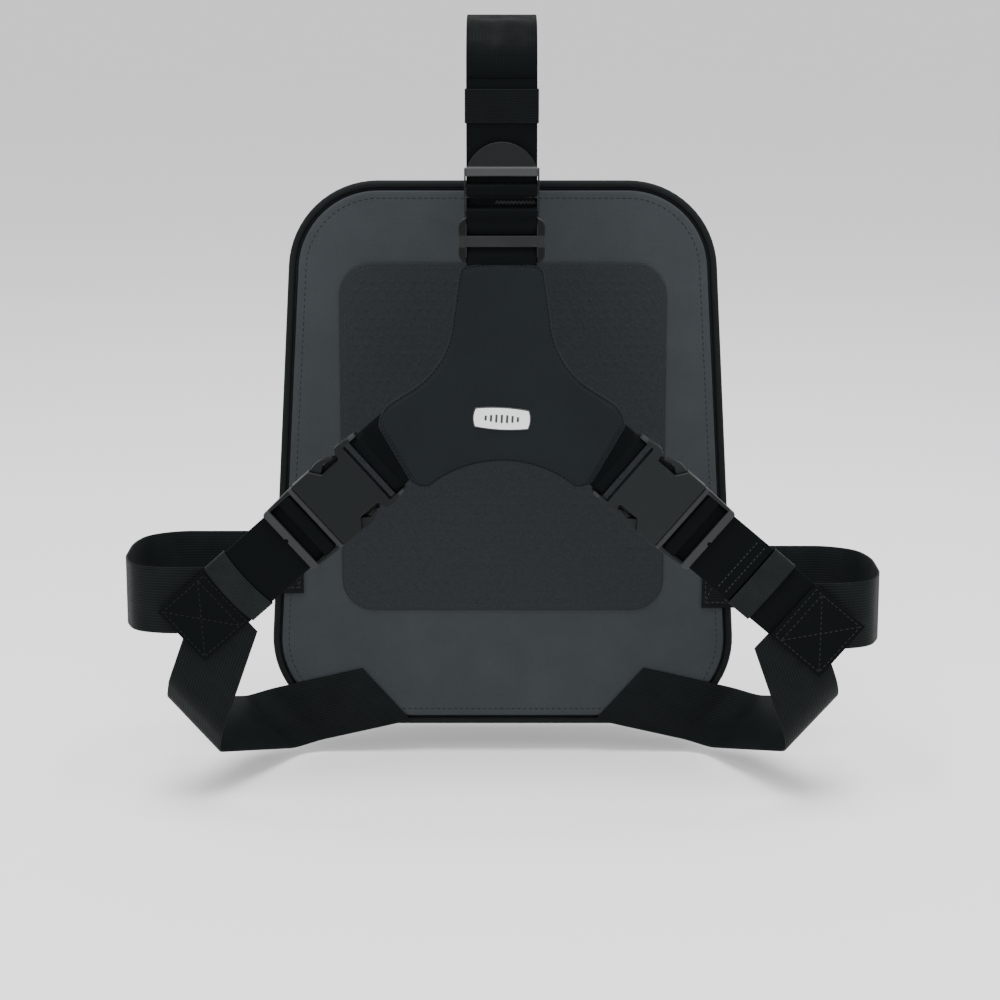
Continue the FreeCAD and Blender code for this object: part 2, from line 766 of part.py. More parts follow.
def add_back_pad():
    half_width = dim("grip_width") / 2
    half_height = dim("grip_height") / 2
    grip = box_outline(-half_width, half_width, -half_height, half_height, 22.0)
    add_pad_plate("rear_grip_patch", grip, 0.0, "grip_thickness")
    add_pad_plate("rear_panel", pad_wire(dim("rear_panel_inset")), dim("grip_thickness"), "rear_panel_thickness")
    add_pad_plate("back_board", pad_wire(dim("board_inset")), dim("board_start"), "board_thickness")
    inset = dim("cover_inset")
    cover = add_pad_plate("front_cover", pad_wire(inset), dim("cover_start"), "cover_depth")
    add_fillet(cover, "dims.cover_round", front_edges(dim("cover_depth")))
    hollow_out(cover, "dims.cover_thickness")
    foam_inset = inset + dim("cover_thickness") + dim("foam_gap")
    foam = add_pad_plate("foam_core", pad_wire(foam_inset), dim("foam_start"), "foam_depth")
    add_fillet(foam, "dims.foam_round", front_edges(dim("foam_depth")))
    half_width = dim("lumbar_width") / 2
    half_height = dim("lumbar_height") / 2
    middle = dim("lumbar_z")
    lumbar = box_outline(-half_width, half_width, middle - half_height, middle + half_height, 42.0)
    cushion = add_pad_plate("lumbar_cushion", lumbar, dim("lumbar_start"), "lumbar_depth")
    add_fillet(cushion, "dims.lumbar_round", front_edges(dim("lumbar_depth")))
    add_piping()


def add_piping():
    """A cord-filled edge binding that runs right round the pad's seam."""
    body = new_body("edge_piping", FreeCAD.Placement(
        FreeCAD.Vector(0, dim("piping_y"), 0), FreeCAD.Rotation()))
    spine = new_sketch(body, "XZ_Plane", [pad_wire(0.0)])
    section = body.newObject("Sketcher::SketchObject", "edge_piping_section")
    plane = next(item for item in body.Origin.OriginFeatures if item.Role == "YZ_Plane")
    section.AttachmentSupport = [(plane, "")]
    section.MapMode = "FlatFace"
    centre = FreeCAD.Vector(0, dim("pad_bottom"), 0)
    section.addGeometry(Part.Circle(centre, FreeCAD.Vector(0, 0, 1), dim("piping_radius")), False)
    pipe = body.newObject("PartDesign::AdditivePipe", "edge_piping_pipe")
    pipe.Profile = section
    pipe.Spine = spine
    doc.recompute()


# ---------------------------------------------------------------- build

add_back_pad()
add_yoke()
add_label()
add_top_strap()
add_link_webbing()
add_ladder_lock()
add_tri_glide()
add_sleeve("top_keeper", UP, "top_keeper_start", "top_keeper_length")
for side, spec in SIDES.items():
    frame = rear_frame(spec["x"], spec["z"], spec["along"])
    add_yoke_webbing(side, frame)
    add_buckle_female(side, frame)
    add_buckle_male(side, frame)
    add_prongs(side, frame, spec["hand"])
    add_side_strap(side, frame, spec)
    add_sleeve(f"{side}_keeper", frame, "keeper_start", "keeper_length")
    add_side_elastic(side, spec)
    add_lower_elastic(side, spec)

doc.recompute()
for item in doc.Objects:
    if "Invalid" in item.State or "Error" in item.State:
        raise RuntimeError(f"{item.Name} failed: {item.State}")
for item in SUB_PARTS:
    if item.Shape.isNull() or not item.Shape.isValid():
        raise RuntimeError(f"{item.Label} has no valid shape")

os.makedirs("parts", exist_ok=True)
for item in SUB_PARTS:
    item.Shape.exportStep(os.path.join("parts", item.Label + ".step"))
    print(item.Label, len(item.Shape.Solids), round(item.Shape.Volume, 1))
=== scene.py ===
import bmesh
import bpy
import math
from mathutils import Matrix, Vector, geometry, kdtree, noise


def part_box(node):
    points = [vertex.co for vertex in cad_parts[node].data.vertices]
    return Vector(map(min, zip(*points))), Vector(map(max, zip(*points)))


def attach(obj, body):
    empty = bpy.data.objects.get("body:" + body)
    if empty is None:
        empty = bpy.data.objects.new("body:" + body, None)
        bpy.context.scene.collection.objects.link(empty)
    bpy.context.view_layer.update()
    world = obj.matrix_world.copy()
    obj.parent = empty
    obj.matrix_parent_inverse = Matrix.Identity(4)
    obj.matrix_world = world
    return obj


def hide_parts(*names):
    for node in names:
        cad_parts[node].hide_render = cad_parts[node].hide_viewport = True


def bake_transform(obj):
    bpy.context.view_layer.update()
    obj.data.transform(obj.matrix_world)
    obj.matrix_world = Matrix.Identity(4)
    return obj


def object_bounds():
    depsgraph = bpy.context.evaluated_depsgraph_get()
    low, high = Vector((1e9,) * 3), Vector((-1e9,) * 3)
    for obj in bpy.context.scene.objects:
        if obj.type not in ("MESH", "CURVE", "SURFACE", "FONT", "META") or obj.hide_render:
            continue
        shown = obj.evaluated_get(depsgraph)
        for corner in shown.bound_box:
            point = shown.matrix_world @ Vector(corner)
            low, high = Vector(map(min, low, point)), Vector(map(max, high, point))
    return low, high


# A chair back support with its three-point strap harness. The CAD frame is loaded first; the hard
# parts keep their CAD shape, and each soft piece is rebuilt here in detail at the same place.
# Lengths are in millimetres up to make_piece, which turns them into metres.
# A strap's local frame: X along the strap, Y across it, Z (the level) out of the chair.

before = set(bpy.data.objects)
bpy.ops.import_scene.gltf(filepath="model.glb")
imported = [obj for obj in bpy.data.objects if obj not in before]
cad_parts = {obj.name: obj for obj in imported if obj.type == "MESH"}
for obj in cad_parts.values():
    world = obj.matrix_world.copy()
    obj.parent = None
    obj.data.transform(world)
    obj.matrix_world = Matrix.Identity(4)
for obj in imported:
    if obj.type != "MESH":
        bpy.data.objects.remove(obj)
cad_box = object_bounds()
MM = 0.001

CHAIR_DEPTH = 105.0
HARNESS_X = -0.8
WEB_WIDTH = 44.0
WEB_THICK = 1.5
ELASTIC_THICK = 1.4
LOAD_PLY = 4.65
TAIL_PLY = 6.6
YOKE_PLY = 5.3
BACK_PLY = 2.95
RIB_PITCH = 1.8

# Each side: buckle's inner end, the way the strap runs, ends of the strap and the tail, where the
# sewn patch starts, the side elastic's height and start, the lower elastic's start, left or right.
SIDES = {
    "left": {"x": -77.7, "z": 7.4, "along": (-0.7455, -0.6665), "strap": 174.0, "tail": 128.0,
             "patch": 132.8, "elastic_z": -86.0, "elastic_from": 186.0, "lower_from": 72.0,
             "hand": -1},
    "right": {"x": 71.75, "z": 6.1, "along": (0.7627, -0.6468), "strap": 193.0, "tail": 114.2,
              "patch": 150.0, "elastic_z": -96.5, "elastic_from": 192.0, "lower_from": 60.0,
              "hand": 1},
}


# ---------------------------------------------------------------- materials

def new_material(name, colour, roughness, sheen=0.0, gloss=0.07):
    material = bpy.data.materials.new(name)
    material.use_nodes = True
    tree = material.node_tree
    shader = tree.nodes["Principled BSDF"]
    shader.inputs["Base Color"].default_value = (*colour, 1)
    shader.inputs["Roughness"].default_value = roughness
    shader.inputs["Specular IOR Level"].default_value = gloss
    shader.inputs["Sheen Weight"].default_value = sheen
    shader.inputs["Sheen Roughness"].default_value = 0.4
    return material, tree, shader


def math_node(tree, operation, first, second=0.0):
    node = tree.nodes.new("ShaderNodeMath")
    node.operation = operation
    for index, value in enumerate((first, second)):
        if isinstance(value, (int, float)):
            node.inputs[index].default_value = value
        else:
            tree.links.new(value, node.inputs[index])
    return node.outputs[0]


def noise_node(tree, vector, scale, detail=3.0):
    node = tree.nodes.new("ShaderNodeTexNoise")
    node.inputs["Scale"].default_value = scale
    node.inputs["Detail"].default_value = detail
    tree.links.new(vector, node.inputs["Vector"])
    return node.outputs["Fac"]


def wave_node(tree, vector, direction, pitch, distortion=0.0):
    """Bands of the given pitch in metres, from 0 to 1."""
    node = tree.nodes.new("ShaderNodeTexWave")
    node.bands_direction = direction
    node.inputs["Scale"].default_value = 2 * math.pi / (20 * pitch)
    node.inputs["Distortion"].default_value = distortion
    tree.links.new(vector, node.inputs["Vector"])
    return node.outputs["Fac"]


def dot_node(tree, vector, direction):
    """How far a point lies along a direction."""
    node = tree.nodes.new("ShaderNodeVectorMath")
    node.operation = "DOT_PRODUCT"
    tree.links.new(vector, node.inputs[0])
    node.inputs[1].default_value = direction
    return node.outputs["Value"]


def coordinates(tree, kind):
    return tree.nodes.new("ShaderNodeTexCoord").outputs[kind]


def colour_between(tree, factor, low, high):
    node = tree.nodes.new("ShaderNodeMix")
    node.data_type = "RGBA"
    tree.links.new(factor, node.inputs[0])
    node.inputs[6].default_value = (*low, 1)
    node.inputs[7].default_value = (*high, 1)
    return node.outputs[2]


def range_node(tree, value, low, high, to_low=0.0, to_high=1.0):
    node = tree.nodes.new("ShaderNodeMapRange")
    tree.links.new(value, node.inputs["Value"])
    node.inputs["From Min"].default_value = low
    node.inputs["From Max"].default_value = high
    node.inputs["To Min"].default_value = to_low
    node.inputs["To Max"].default_value = to_high
    return node.outputs["Result"]


def add_bump(tree, shader, height, distance, strength=1.0):
    node = tree.nodes.new("ShaderNodeBump")
    node.inputs["Distance"].default_value = distance
    node.inputs["Strength"].default_value = strength
    tree.links.new(height, node.inputs["Height"])
    tree.links.new(node.outputs["Normal"], shader.inputs["Normal"])
    return node


def scaled(colour, factor):
    return tuple(channel * factor for channel in colour)


def tint(tree, shader, factor, low, high):
    """The base colour runs from low to high with the factor."""
    tree.links.new(colour_between(tree, factor, low, high), shader.inputs["Base Color"])


def webbing_material(name, colour, roughness=0.62):
    """Flat woven webbing: fine weft ribs across and warp ends along."""
    material, tree, shader = new_material(name, colour, roughness, 0.008, 0.05)
    uv = coordinates(tree, "UV")
    weft = wave_node(tree, uv, "X", 0.0013)
    warp = wave_node(tree, uv, "Y", 0.0021)
    weave = math_node(tree, "MULTIPLY", weft, warp)
    cloudy = noise_node(tree, uv, 90.0)
    shade = math_node(tree, "ADD", math_node(tree, "MULTIPLY", weave, 0.55),
                      math_node(tree, "MULTIPLY", cloudy, 0.6))
    tint(tree, shader, shade, scaled(colour, 0.6), scaled(colour, 1.5))
    tree.links.new(range_node(tree, cloudy, 0.3, 0.7, roughness - 0.06, roughness + 0.12),
                   shader.inputs["Roughness"])
    add_bump(tree, shader, weave, 0.0002, 0.6)
    return material


def elastic_material(name, colour, pitch, roughness=0.55):
    """Ribbed woven elastic: a painted highlight on each rib's crest, painted shade in the grooves, and
    fine cross threads.
    """
    material, tree, shader = new_material(name, colour, roughness, sheen=0.015)
    uv = coordinates(tree, "UV")
    ribs = wave_node(tree, uv, "Y", pitch * MM)
    threads = wave_node(tree, uv, "X", 0.0009)
    cloudy = noise_node(tree, uv, 70.0)
    # rib crests are painted lighter as a highlight and the grooves darker as shade
    rib_crest_highlight = math_node(tree, "POWER", ribs, 2.0)
    shade = math_node(tree, "ADD", math_node(tree, "MULTIPLY", rib_crest_highlight, 0.6),
                      math_node(tree, "MULTIPLY", cloudy, 0.5))
    tint(tree, shader, shade, scaled(colour, 0.3), scaled(colour, 2.3))
    add_bump(tree, shader, threads, 0.00012, 0.7)
    return material


def knit_material(name, colour, roughness=0.75, pitch=0.0011, sheen=0.02):
    """Smooth fabric with a fine even knit and soft shade changes."""
    material, tree, shader = new_material(name, colour, roughness, sheen)
    place = coordinates(tree, "Object")
    columns = wave_node(tree, place, "X", pitch, 0.4)
    rows = wave_node(tree, place, "Z", pitch * 0.8, 0.4)
    knit = math_node(tree, "MULTIPLY", columns, rows)
    cloudy = noise_node(tree, place, 26.0, 4.0)
    fine = noise_node(tree, place, 1500.0, 2.0)
    shade = math_node(tree, "ADD", math_node(tree, "MULTIPLY", cloudy, 0.55),
                      math_node(tree, "MULTIPLY", fine, 0.35))
    tint(tree, shader, shade, scaled(colour, 0.7), scaled(colour, 1.35))
    tree.links.new(range_node(tree, fine, 0.3, 0.7, roughness - 0.08, roughness + 0.08),
                   shader.inputs["Roughness"])
    add_bump(tree, shader, knit, 0.00018, 0.6)
    return material


def mesh_material(name, colour, cell=0.0036):
    """Air-mesh fabric: a grid of small holes, painted dark as the shade inside them."""
    material, tree, shader = new_material(name, colour, 0.8, sheen=0.03)
    place = coordinates(tree, "Object")
    waves = []
    for direction in ((1.0, 1.0, 0.0), (0.0, 0.6, 1.0)):
        turn = math_node(tree, "MULTIPLY", dot_node(tree, place, direction), math.pi / cell)
        waves.append(math_node(tree, "ABSOLUTE", math_node(tree, "SINE", turn)))
    open_share = math_node(tree, "MULTIPLY", *waves)
    hole = range_node(tree, open_share, 0.86, 0.6)
    cloudy = noise_node(tree, place, 20.0, 4.0)
    # painted shade: the holes are coloured darker than the fabric around them
    shade = math_node(tree, "MULTIPLY", hole, math_node(tree, "ADD", cloudy, 0.45))
    tint(tree, shader, shade, scaled(colour, 0.3), scaled(colour, 1.35))
    add_bump(tree, shader, hole, 0.0005, 0.8)
    return material


def plastic_material(name, colour, roughness=0.42, zones=(), gloss=0.14):
    """Moulded plastic: fine spark-eroded grain, edges painted lighter as a highlight, faint flow marks.

    A zone is (start point in mm, direction, length in mm, strength): a bar painted lighter as a
    painted highlight where it catches the light.
    """
    material, tree, shader = new_material(name, colour, roughness, 0.0, gloss)
    place = coordinates(tree, "Object")
    grain = noise_node(tree, place, 2600.0, 2.0)
    flow = noise_node(tree, place, 60.0, 4.0)
    rounded = tree.nodes.new("ShaderNodeBevel")
    rounded.samples = 4
    rounded.inputs["Radius"].default_value = 0.0006
    facing = tree.nodes.new("ShaderNodeVectorMath")
    facing.operation = "DOT_PRODUCT"
    flat = tree.nodes.new("ShaderNodeNewGeometry")
    tree.links.new(rounded.outputs["Normal"], facing.inputs[0])
    tree.links.new(flat.outputs["Normal"], facing.inputs[1])
    # painted highlight: edges are coloured lighter where the rounded normal turns from the flat one
    edge_highlight_mask = range_node(tree, facing.outputs["Value"], 0.995, 0.90)
    body = colour_between(tree, flow, scaled(colour, 0.85), scaled(colour, 1.15))
    highlight_mask = math_node(tree, "MULTIPLY", edge_highlight_mask, 0.45)
    # each zone paints a highlight on a bar, patchy with the flow noise
    for start, direction, length, strength in zones:
        from_start = math_node(tree, "SUBTRACT", dot_node(tree, place, direction),
                               Vector(start).dot(Vector(direction)) * MM)
        middle = math_node(tree, "SUBTRACT", from_start, length * MM / 2)
        away = math_node(tree, "ABSOLUTE", middle)
        inside = range_node(tree, away, length * MM / 2 + 0.0004, length * MM / 2 - 0.0006)
        patchy = range_node(tree, flow, 0.3, 0.7, 0.75 * strength, strength)
        highlight_mask = math_node(tree, "MAXIMUM", highlight_mask, math_node(tree, "MULTIPLY", inside, patchy))
    highlight_mix = tree.nodes.new("ShaderNodeMix")
    highlight_mix.data_type = "RGBA"
    tree.links.new(highlight_mask, highlight_mix.inputs[0])
    tree.links.new(body, highlight_mix.inputs[6])
    highlight_mix.inputs[7].default_value = (*PLASTIC_HIGHLIGHT_COLOUR, 1)
    tree.links.new(highlight_mix.outputs[2], shader.inputs["Base Color"])
    tree.links.new(range_node(tree, grain, 0.3, 0.7, roughness - 0.05, roughness + 0.08),
                   shader.inputs["Roughness"])
    bump = add_bump(tree, shader, grain, 0.00004, 0.5)
    tree.links.new(rounded.outputs["Normal"], bump.inputs["Normal"])
    return material


def thread_material(name, colour):
    """Twisted sewing thread."""
    material, tree, shader = new_material(name, colour, 0.55, sheen=0.03)
    place = coordinates(tree, "Object")
    twist = noise_node(tree, place, 1400.0, 1.0)
    tint(tree, shader, twist, scaled(colour, 0.6), scaled(colour, 1.4))
    return material


def rubber_material(name, colour):
    """Rubberised fabric or foam: matt with a fine pebble."""
    material, tree, shader = new_material(name, colour, 0.85)
    place = coordinates(tree, "Object")
    pebble = noise_node(tree, place, 700.0, 3.0)
    tint(tree, shader, pebble, scaled(colour, 0.7), scaled(colour, 1.3))
    add_bump(tree, shader, pebble, 0.00025, 0.6)
    return material


# colour of the painted highlight on plastic edges and bars
PLASTIC_HIGHLIGHT_COLOUR = (0.036, 0.0385, 0.0395)
BLACK = (0.0016, 0.0026, 0.0027)
WEBBING = webbing_material("webbing", BLACK)
ELASTIC = elastic_material("ribbed_elastic", (0.003, 0.0044, 0.0045), RIB_PITCH)
KEEPER_ELASTIC = elastic_material("keeper_elastic", (0.0058, 0.0078, 0.008), 1.5)
DARK_ELASTIC = elastic_material("top_keeper_elastic", (0.0014, 0.0024, 0.0025), 1.5)
YOKE = knit_material("yoke_fabric", (0.0085, 0.0108, 0.012), 0.7)
YOKE_EDGE = knit_material("yoke_edge_fabric", (0.0125, 0.0152, 0.0166), 0.8)
THREAD = thread_material("thread", (0.026, 0.029, 0.03))
DARK_THREAD = thread_material("dark_thread", (0.0075, 0.0095, 0.01))
# real stitches, coloured almost black as painted shade of the stitched groove round the yoke
SEAM_THREAD_AND_SHADE = thread_material("seam_thread_and_painted_shade", (0.002, 0.0028, 0.003))
GREY_THREAD = thread_material("grey_thread", (0.014, 0.0165, 0.017))
# one plastic for both buckles: the left is coloured darker as painted shade, the right lighter as painted
# light
BUCKLE_COLOURS_LIT_AND_SHADED = {"left": (0.0036, 0.0052, 0.0052), "right": (0.0067, 0.0092, 0.0092)}
REAR_FABRIC = knit_material("rear_fabric", (0.034, 0.039, 0.0425), 0.8, 0.0016)
COVER_FABRIC = mesh_material("cover_fabric", (0.034, 0.038, 0.041))
CUSHION_FABRIC = knit_material("cushion_fabric", (0.022, 0.0245, 0.027), 0.8, 0.0016, 0.04)
PIPING = knit_material("piping", (0.007, 0.0085, 0.009), 0.6, 0.0009)
GRIP = rubber_material("grip_rubber", (0.02, 0.023, 0.025))
BOARD = rubber_material("board_plastic", (0.1, 0.1, 0.1))


# ---------------------------------------------------------------- mesh helpers

def make_piece(name, verts, faces, material, body=None, uvs=None, smooth_angle=50.0):
    """A mesh object from points in millimetres; uvs is one (along, across) in mm for each point."""
    mesh = bpy.data.meshes.new(name)
    mesh.from_pydata([Vector(vert) * MM for vert in verts], [], faces)
    mesh.validate()
    if uvs is not None:
        layer = mesh.uv_layers.new(name="metres")
        for loop in mesh.loops:
            u, v = uvs[loop.vertex_index]
            layer.data[loop.index].uv = (u * MM, v * MM)
    mesh.shade_smooth()
    mesh.set_sharp_from_angle(angle=math.radians(smooth_angle))
    mesh.materials.append(material)
    obj = bpy.data.objects.new(name, mesh)
    bpy.context.scene.collection.objects.link(obj)
    if body:
        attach(obj, body)
    return obj


def fix_normals(obj, weld=0.0):
    """Turns all faces outwards; points closer than weld (metres) first become one."""
    shape = bmesh.new()
    shape.from_mesh(obj.data)
    if weld:
        bmesh.ops.remove_doubles(shape, verts=shape.verts, dist=weld)
    bmesh.ops.recalc_face_normals(shape, faces=shape.faces)
    shape.to_mesh(obj.data)
    shape.free()


def rear_frame(x, z, along):
    """Local frame on the chair's rear plane: X along the strap, Z out of the chair."""
    x_axis = Vector((along[0], 0, along[1])).normalized()
    z_axis = Vector((0, -1, 0))
    y_axis = z_axis.cross(x_axis)
    matrix = Matrix((x_axis, y_axis, z_axis)).transposed().to_4x4()
    matrix.translation = Vector((x, -CHAIR_DEPTH, z))
    return matrix


def turned(arm, angle):
    """A 2D arm turned by an angle."""
    return Vector((arm.x * math.cos(angle) - arm.y * math.sin(angle),
                   arm.x * math.sin(angle) + arm.y * math.cos(angle)))


def bent_path(points, step=2.5, bend_steps=7, run_share=0.45, most=1000.0):
    """The centre line of a band: straight runs joined by arcs, as points a step apart."""
    path = [Vector(points[0])]

    def run_to(spot):
        start = path[-1]
        gap = (spot - start).length
        if gap < 1e-5:
            return
        count = max(1, round(gap / step))
        for index in range(1, count + 1):
            path.append(start.lerp(spot, index / count))

    for before, here, after in zip(points, points[1:], points[2:]):
        here = Vector(here)
        back = Vector(before) - here
        ahead = Vector(after) - here
        half = back.angle(ahead) / 2
        reach = min(run_share * min(back.length, ahead.length), most)
        radius = reach * math.tan(half)
        back.normalize()
        ahead.normalize()
        centre = here + (back + ahead).normalized() * math.hypot(radius, reach)
        start = here + back * reach
        run_to(start)
        turn = math.pi - 2 * half
        spin = 1 if back.x * ahead.y - back.y * ahead.x < 0 else -1
        for index in range(1, bend_steps + 1):
            angle = spin * turn * index / bend_steps
            path.append(centre + turned(start - centre, angle))
    run_to(Vector(points[-1]))
    return path


def path_frames(path, closed=False):
    """For each point of a 2D path: (point, left normal, length so far)."""
    frames = []
    length = 0.0
    count = len(path)
    for index, here in enumerate(path):
        before = path[index - 1] if index or closed else here
        after = path[(index + 1) % count] if index + 1 < count or closed else here
        along = (after - before).normalized()
        if index:
            length += (here - path[index - 1]).length
        frames.append((here, Vector((-along.y, along.x)), length))
    return frames


def band_section(width, thick, ribs=0.0, rib_height=0.16):
    """Closed cross section as (across, lift); ribs is their pitch, on the outer face."""
    half = width / 2
    edge = thick / 2
    points = [(-half, 0.0), (-half + 0.12, edge * 0.62), (-half + 0.5, edge)]
    if ribs:
        per_rib = 6
        count = int((width - 1.4) / ribs) * per_rib
        for index in range(count + 1):
            across = (index / count - 0.5) * (count / per_rib) * ribs
            wave = math.cos(2 * math.pi * across / ribs)
            points.append((across, edge - rib_height / 2 + wave * rib_height / 2))
    else:
        for index in range(1, 12):
            points.append((-half + width * index / 12, edge))
    points += [(half - 0.5, edge), (half - 0.12, edge * 0.62), (half, 0.0)]
    points += [(half - 0.12, -edge * 0.62), (half - 0.5, -edge), (0.0, -edge)]
    points += [(-half + 0.5, -edge), (-half + 0.12, -edge * 0.62)]
    return points


def skin(rows, size, closed=False):
    """Quads between rings of points given ring after ring; an open run has its two ends capped."""
    faces = []
    for row in range(rows if closed else rows - 1):
        following = (row + 1) % rows
        for index in range(size):
            ahead = (index + 1) % size
            faces.append((row * size + index, row * size + ahead,
                          following * size + ahead, following * size + index))
    if not closed:
        faces.append(tuple(range(size)))
        faces.append(tuple((rows - 1) * size + index for index in reversed(range(size))))
    return faces


def band(name, place, points, section, material, body=None, flip=1, wobble=0.0):
    """A band swept along points of (along, level) in the place's local XZ plane."""
    frames = path_frames(bent_path(points))
    verts = []
    uvs = []
    for spot, left, length in frames:
        for across, lift in section:
            sway = wobble * noise.noise(Vector((length * 0.05, across * 0.06, len(name))))
            at = spot + left * (lift * flip + sway)
            verts.append(place @ Vector((at.x, across, at.y)))
            uvs.append((length, across))
    faces = skin(len(frames), len(section))
    obj = make_piece(name, verts, faces, material, body, uvs)
    fix_normals(obj)
    return obj


def sleeve(name, place, start, length, body, bow, material, loose=0.75):
    """A ribbed elastic loop round both plies; the ribs run round it and its edges bow a little."""
    half = WEB_WIDTH / 2 + loose
    low = LOAD_PLY - WEB_THICK / 2 - 0.8
    high = TAIL_PLY + WEB_THICK / 2 + 0.8
    wall = 0.9
    corner = 1.3
    loop = round_box(half, low, high, corner, 2.2, 5)
    frames = path_frames(loop, closed=True)
    section = band_section(length, wall, 1.5, 0.2)
    verts = []
    uvs = []
    for spot, left, run in frames:
        for along, lift in section:
            at = spot - left * lift
            shift = bow * (1 - (at.x / half) ** 2)
            verts.append(place @ Vector((start + length / 2 + along + shift, at.x, at.y)))
            uvs.append((run, along))
    faces = skin(len(frames), len(section), closed=True)
    obj = make_piece(name, verts, faces, material, body, uvs)
    fix_normals(obj)
    return obj


def rounded_loop(corners, step, bend_steps=8):
    """A closed outline of (x, y, radius) corners, sampled."""
    loop = []
    count = len(corners)
    for index, (x, y, radius) in enumerate(corners):
        here = Vector((x, y))
        back = (Vector(corners[index - 1][:2]) - here).normalized()
        ahead = (Vector(corners[(index + 1) % count][:2]) - here).normalized()
        half = back.angle(ahead) / 2
        reach = radius / math.tan(half)
        centre = here + (back + ahead).normalized() * (radius / math.sin(half))
        start = here + back * reach
        stop = here + ahead * reach
        if loop:
            fill_run(loop, start, step)
        turn = math.pi - 2 * half
        spin = 1 if back.x * ahead.y - back.y * ahead.x < 0 else -1
        for piece in range(bend_steps + 1):
            loop.append(centre + turned(start - centre, spin * turn * piece / bend_steps))
        loop[-1] = stop
    fill_run(loop, loop[0], step)
    loop.pop()
    return loop


def round_box(half, low, high, corner, step, bend_steps):
    """A box outline with rounded corners, from -half to half and from low to high."""
    return rounded_loop([(-half, low, corner), (half, low, corner), (half, high, corner),
                         (-half, high, corner)], step, bend_steps)


def fill_run(loop, spot, step):
    start = loop[-1]
    count = max(1, round((spot - start).length / step))
    for index in range(1, count + 1):
        loop.append(start.lerp(spot, index / count))


def arc_loop(start, steps, step):
    """A closed outline of straight steps (end,) and arcs (middle, end), sampled."""
    loop = [Vector(start)]
    for move in steps:
        end = Vector(move[-1])
        if len(move) == 1:
            fill_run(loop, end, step)
            continue
        here = loop[-1]
        middle = Vector(move[0])
        centre = geometry_centre(here, middle, end)
        first = math.atan2(here.y - centre.y, here.x - centre.x)
        sweep = signed_turn(here - centre, middle - centre) + signed_turn(middle - centre, end - centre)
        radius = (here - centre).length
        count = max(3, round(abs(sweep) * radius / step))
        for index in range(1, count + 1):
            angle = first + sweep * index / count
            loop.append(centre + Vector((math.cos(angle), math.sin(angle))) * radius)
        loop[-1] = end
    loop.pop()
    return loop


def signed_turn(first, second):
    return math.atan2(first.x * second.y - first.y * second.x, first.dot(second))


def geometry_centre(a, b, c):
    """Centre of the circle through three points."""
    d = 2 * (a.x * (b.y - c.y) + b.x * (c.y - a.y) + c.x * (a.y - b.y))
    aa, bb, cc = a.length_squared, b.length_squared, c.length_squared
    x = (aa * (b.y - c.y) + bb * (c.y - a.y) + cc * (a.y - b.y)) / d
    y = (aa * (c.x - b.x) + bb * (a.x - c.x) + cc * (b.x - a.x)) / d
    return Vector((x, y))


def loop_normals(loop):
    """Outward unit normal of a closed outline at each point, whichever way it runs."""
    count = len(loop)
    area = sum(a.x * b.y - a.y * b.x for a, b in zip(loop, loop[1:] + loop[:1]))
    hand = 1 if area > 0 else -1
    normals = []
    for index in range(count):
        along = (loop[(index + 1) % count] - loop[index - 1]).normalized()
        normals.append(Vector((along.y, -along.x)) * hand)
    return normals


def grown(loop, amount):
    return [spot + normal * amount for spot, normal in zip(loop, loop_normals(loop))]


def plate(name, place, loop, top, bottom, spacing, material, body=None,
          rings=(0.15, 0.5, 1.0, 1.7, 2.6)):
    """A plate inside an outline; top and bottom give its two levels from a point and its edge distance."""
    edge_tree = kdtree.KDTree(len(loop))
    for index, spot in enumerate(loop):
        edge_tree.insert((spot.x, spot.y, 0), index)
    edge_tree.balance()

    def depth(spot):
        return edge_tree.find((spot.x, spot.y, 0))[2]

    points = list(loop)
    for ring in rings:
        for spot in grown(loop, -ring):
            if depth(spot) > ring * 0.85:
                points.append(spot)
    low_x = min(spot.x for spot in loop)
    high_x = max(spot.x for spot in loop)
    low_y = min(spot.y for spot in loop)
    high_y = max(spot.y for spot in loop)
    columns = int((high_x - low_x) / spacing) + 1
    rows = int((high_y - low_y) / spacing) + 1
    for row in range(rows + 1):
        shift = 0.5 * (row % 2)
        for column in range(columns + 1):
            spot = Vector((low_x + (column + shift) * spacing, low_y + row * spacing))
            if depth(spot) > rings[-1] + spacing * 0.4:
                points.append(spot)
    outline = list(range(len(loop)))
    flat, _, triangles, _, _, _ = geometry.delaunay_2d_cdt(points, [], [outline], 1, 1e-4)
    ring_count = len(loop)
    verts = []
    for level in (top, bottom):
        for spot in flat:
            away = depth(spot)
            verts.append(place @ Vector((spot.x, spot.y, level(spot, away))))
    size = len(flat)
    faces = [tuple(face) for face in triangles]
    faces += [tuple(size + corner for corner in reversed(face)) for face in triangles]
    matched = kdtree.KDTree(size)
    for index, spot in enumerate(flat):
        matched.insert((spot.x, spot.y, 0), index)
    matched.balance()
    edge = [matched.find((spot.x, spot.y, 0))[1] for spot in loop]
    for index in range(ring_count):
        here, ahead = edge[index], edge[(index + 1) % ring_count]
        faces.append((here, size + here, size + ahead, ahead))
    uvs = [(spot.x, spot.y) for spot in flat] * 2
    obj = make_piece(name, verts, faces, material, body, uvs, 60.0)
    fix_normals(obj)
    return obj


def round_edge(away, radius):
    """Share of the full height at a distance from a rounded edge."""
    if away >= radius:
        return 1.0
    return math.sqrt(max(0.0, 1 - (1 - away / radius) ** 2))


def tube(name, loop, radius, place, material, body=None, sides=10):
    """A round closed tube along a sampled outline in the place's local XY plane."""
    frames = path_frames(loop, closed=True)
    verts = []
    uvs = []
    for spot, left, length in frames:
        for side in range(sides):
            angle = 2 * math.pi * side / sides
            at = spot + left * (radius * math.cos(angle))
            verts.append(place @ Vector((at.x, at.y, radius * math.sin(angle))))
            uvs.append((length, radius * angle))
    faces = skin(len(frames), sides, closed=True)
    obj = make_piece(name, verts, faces, material, body, uvs, 80.0)
    fix_normals(obj)
    return obj


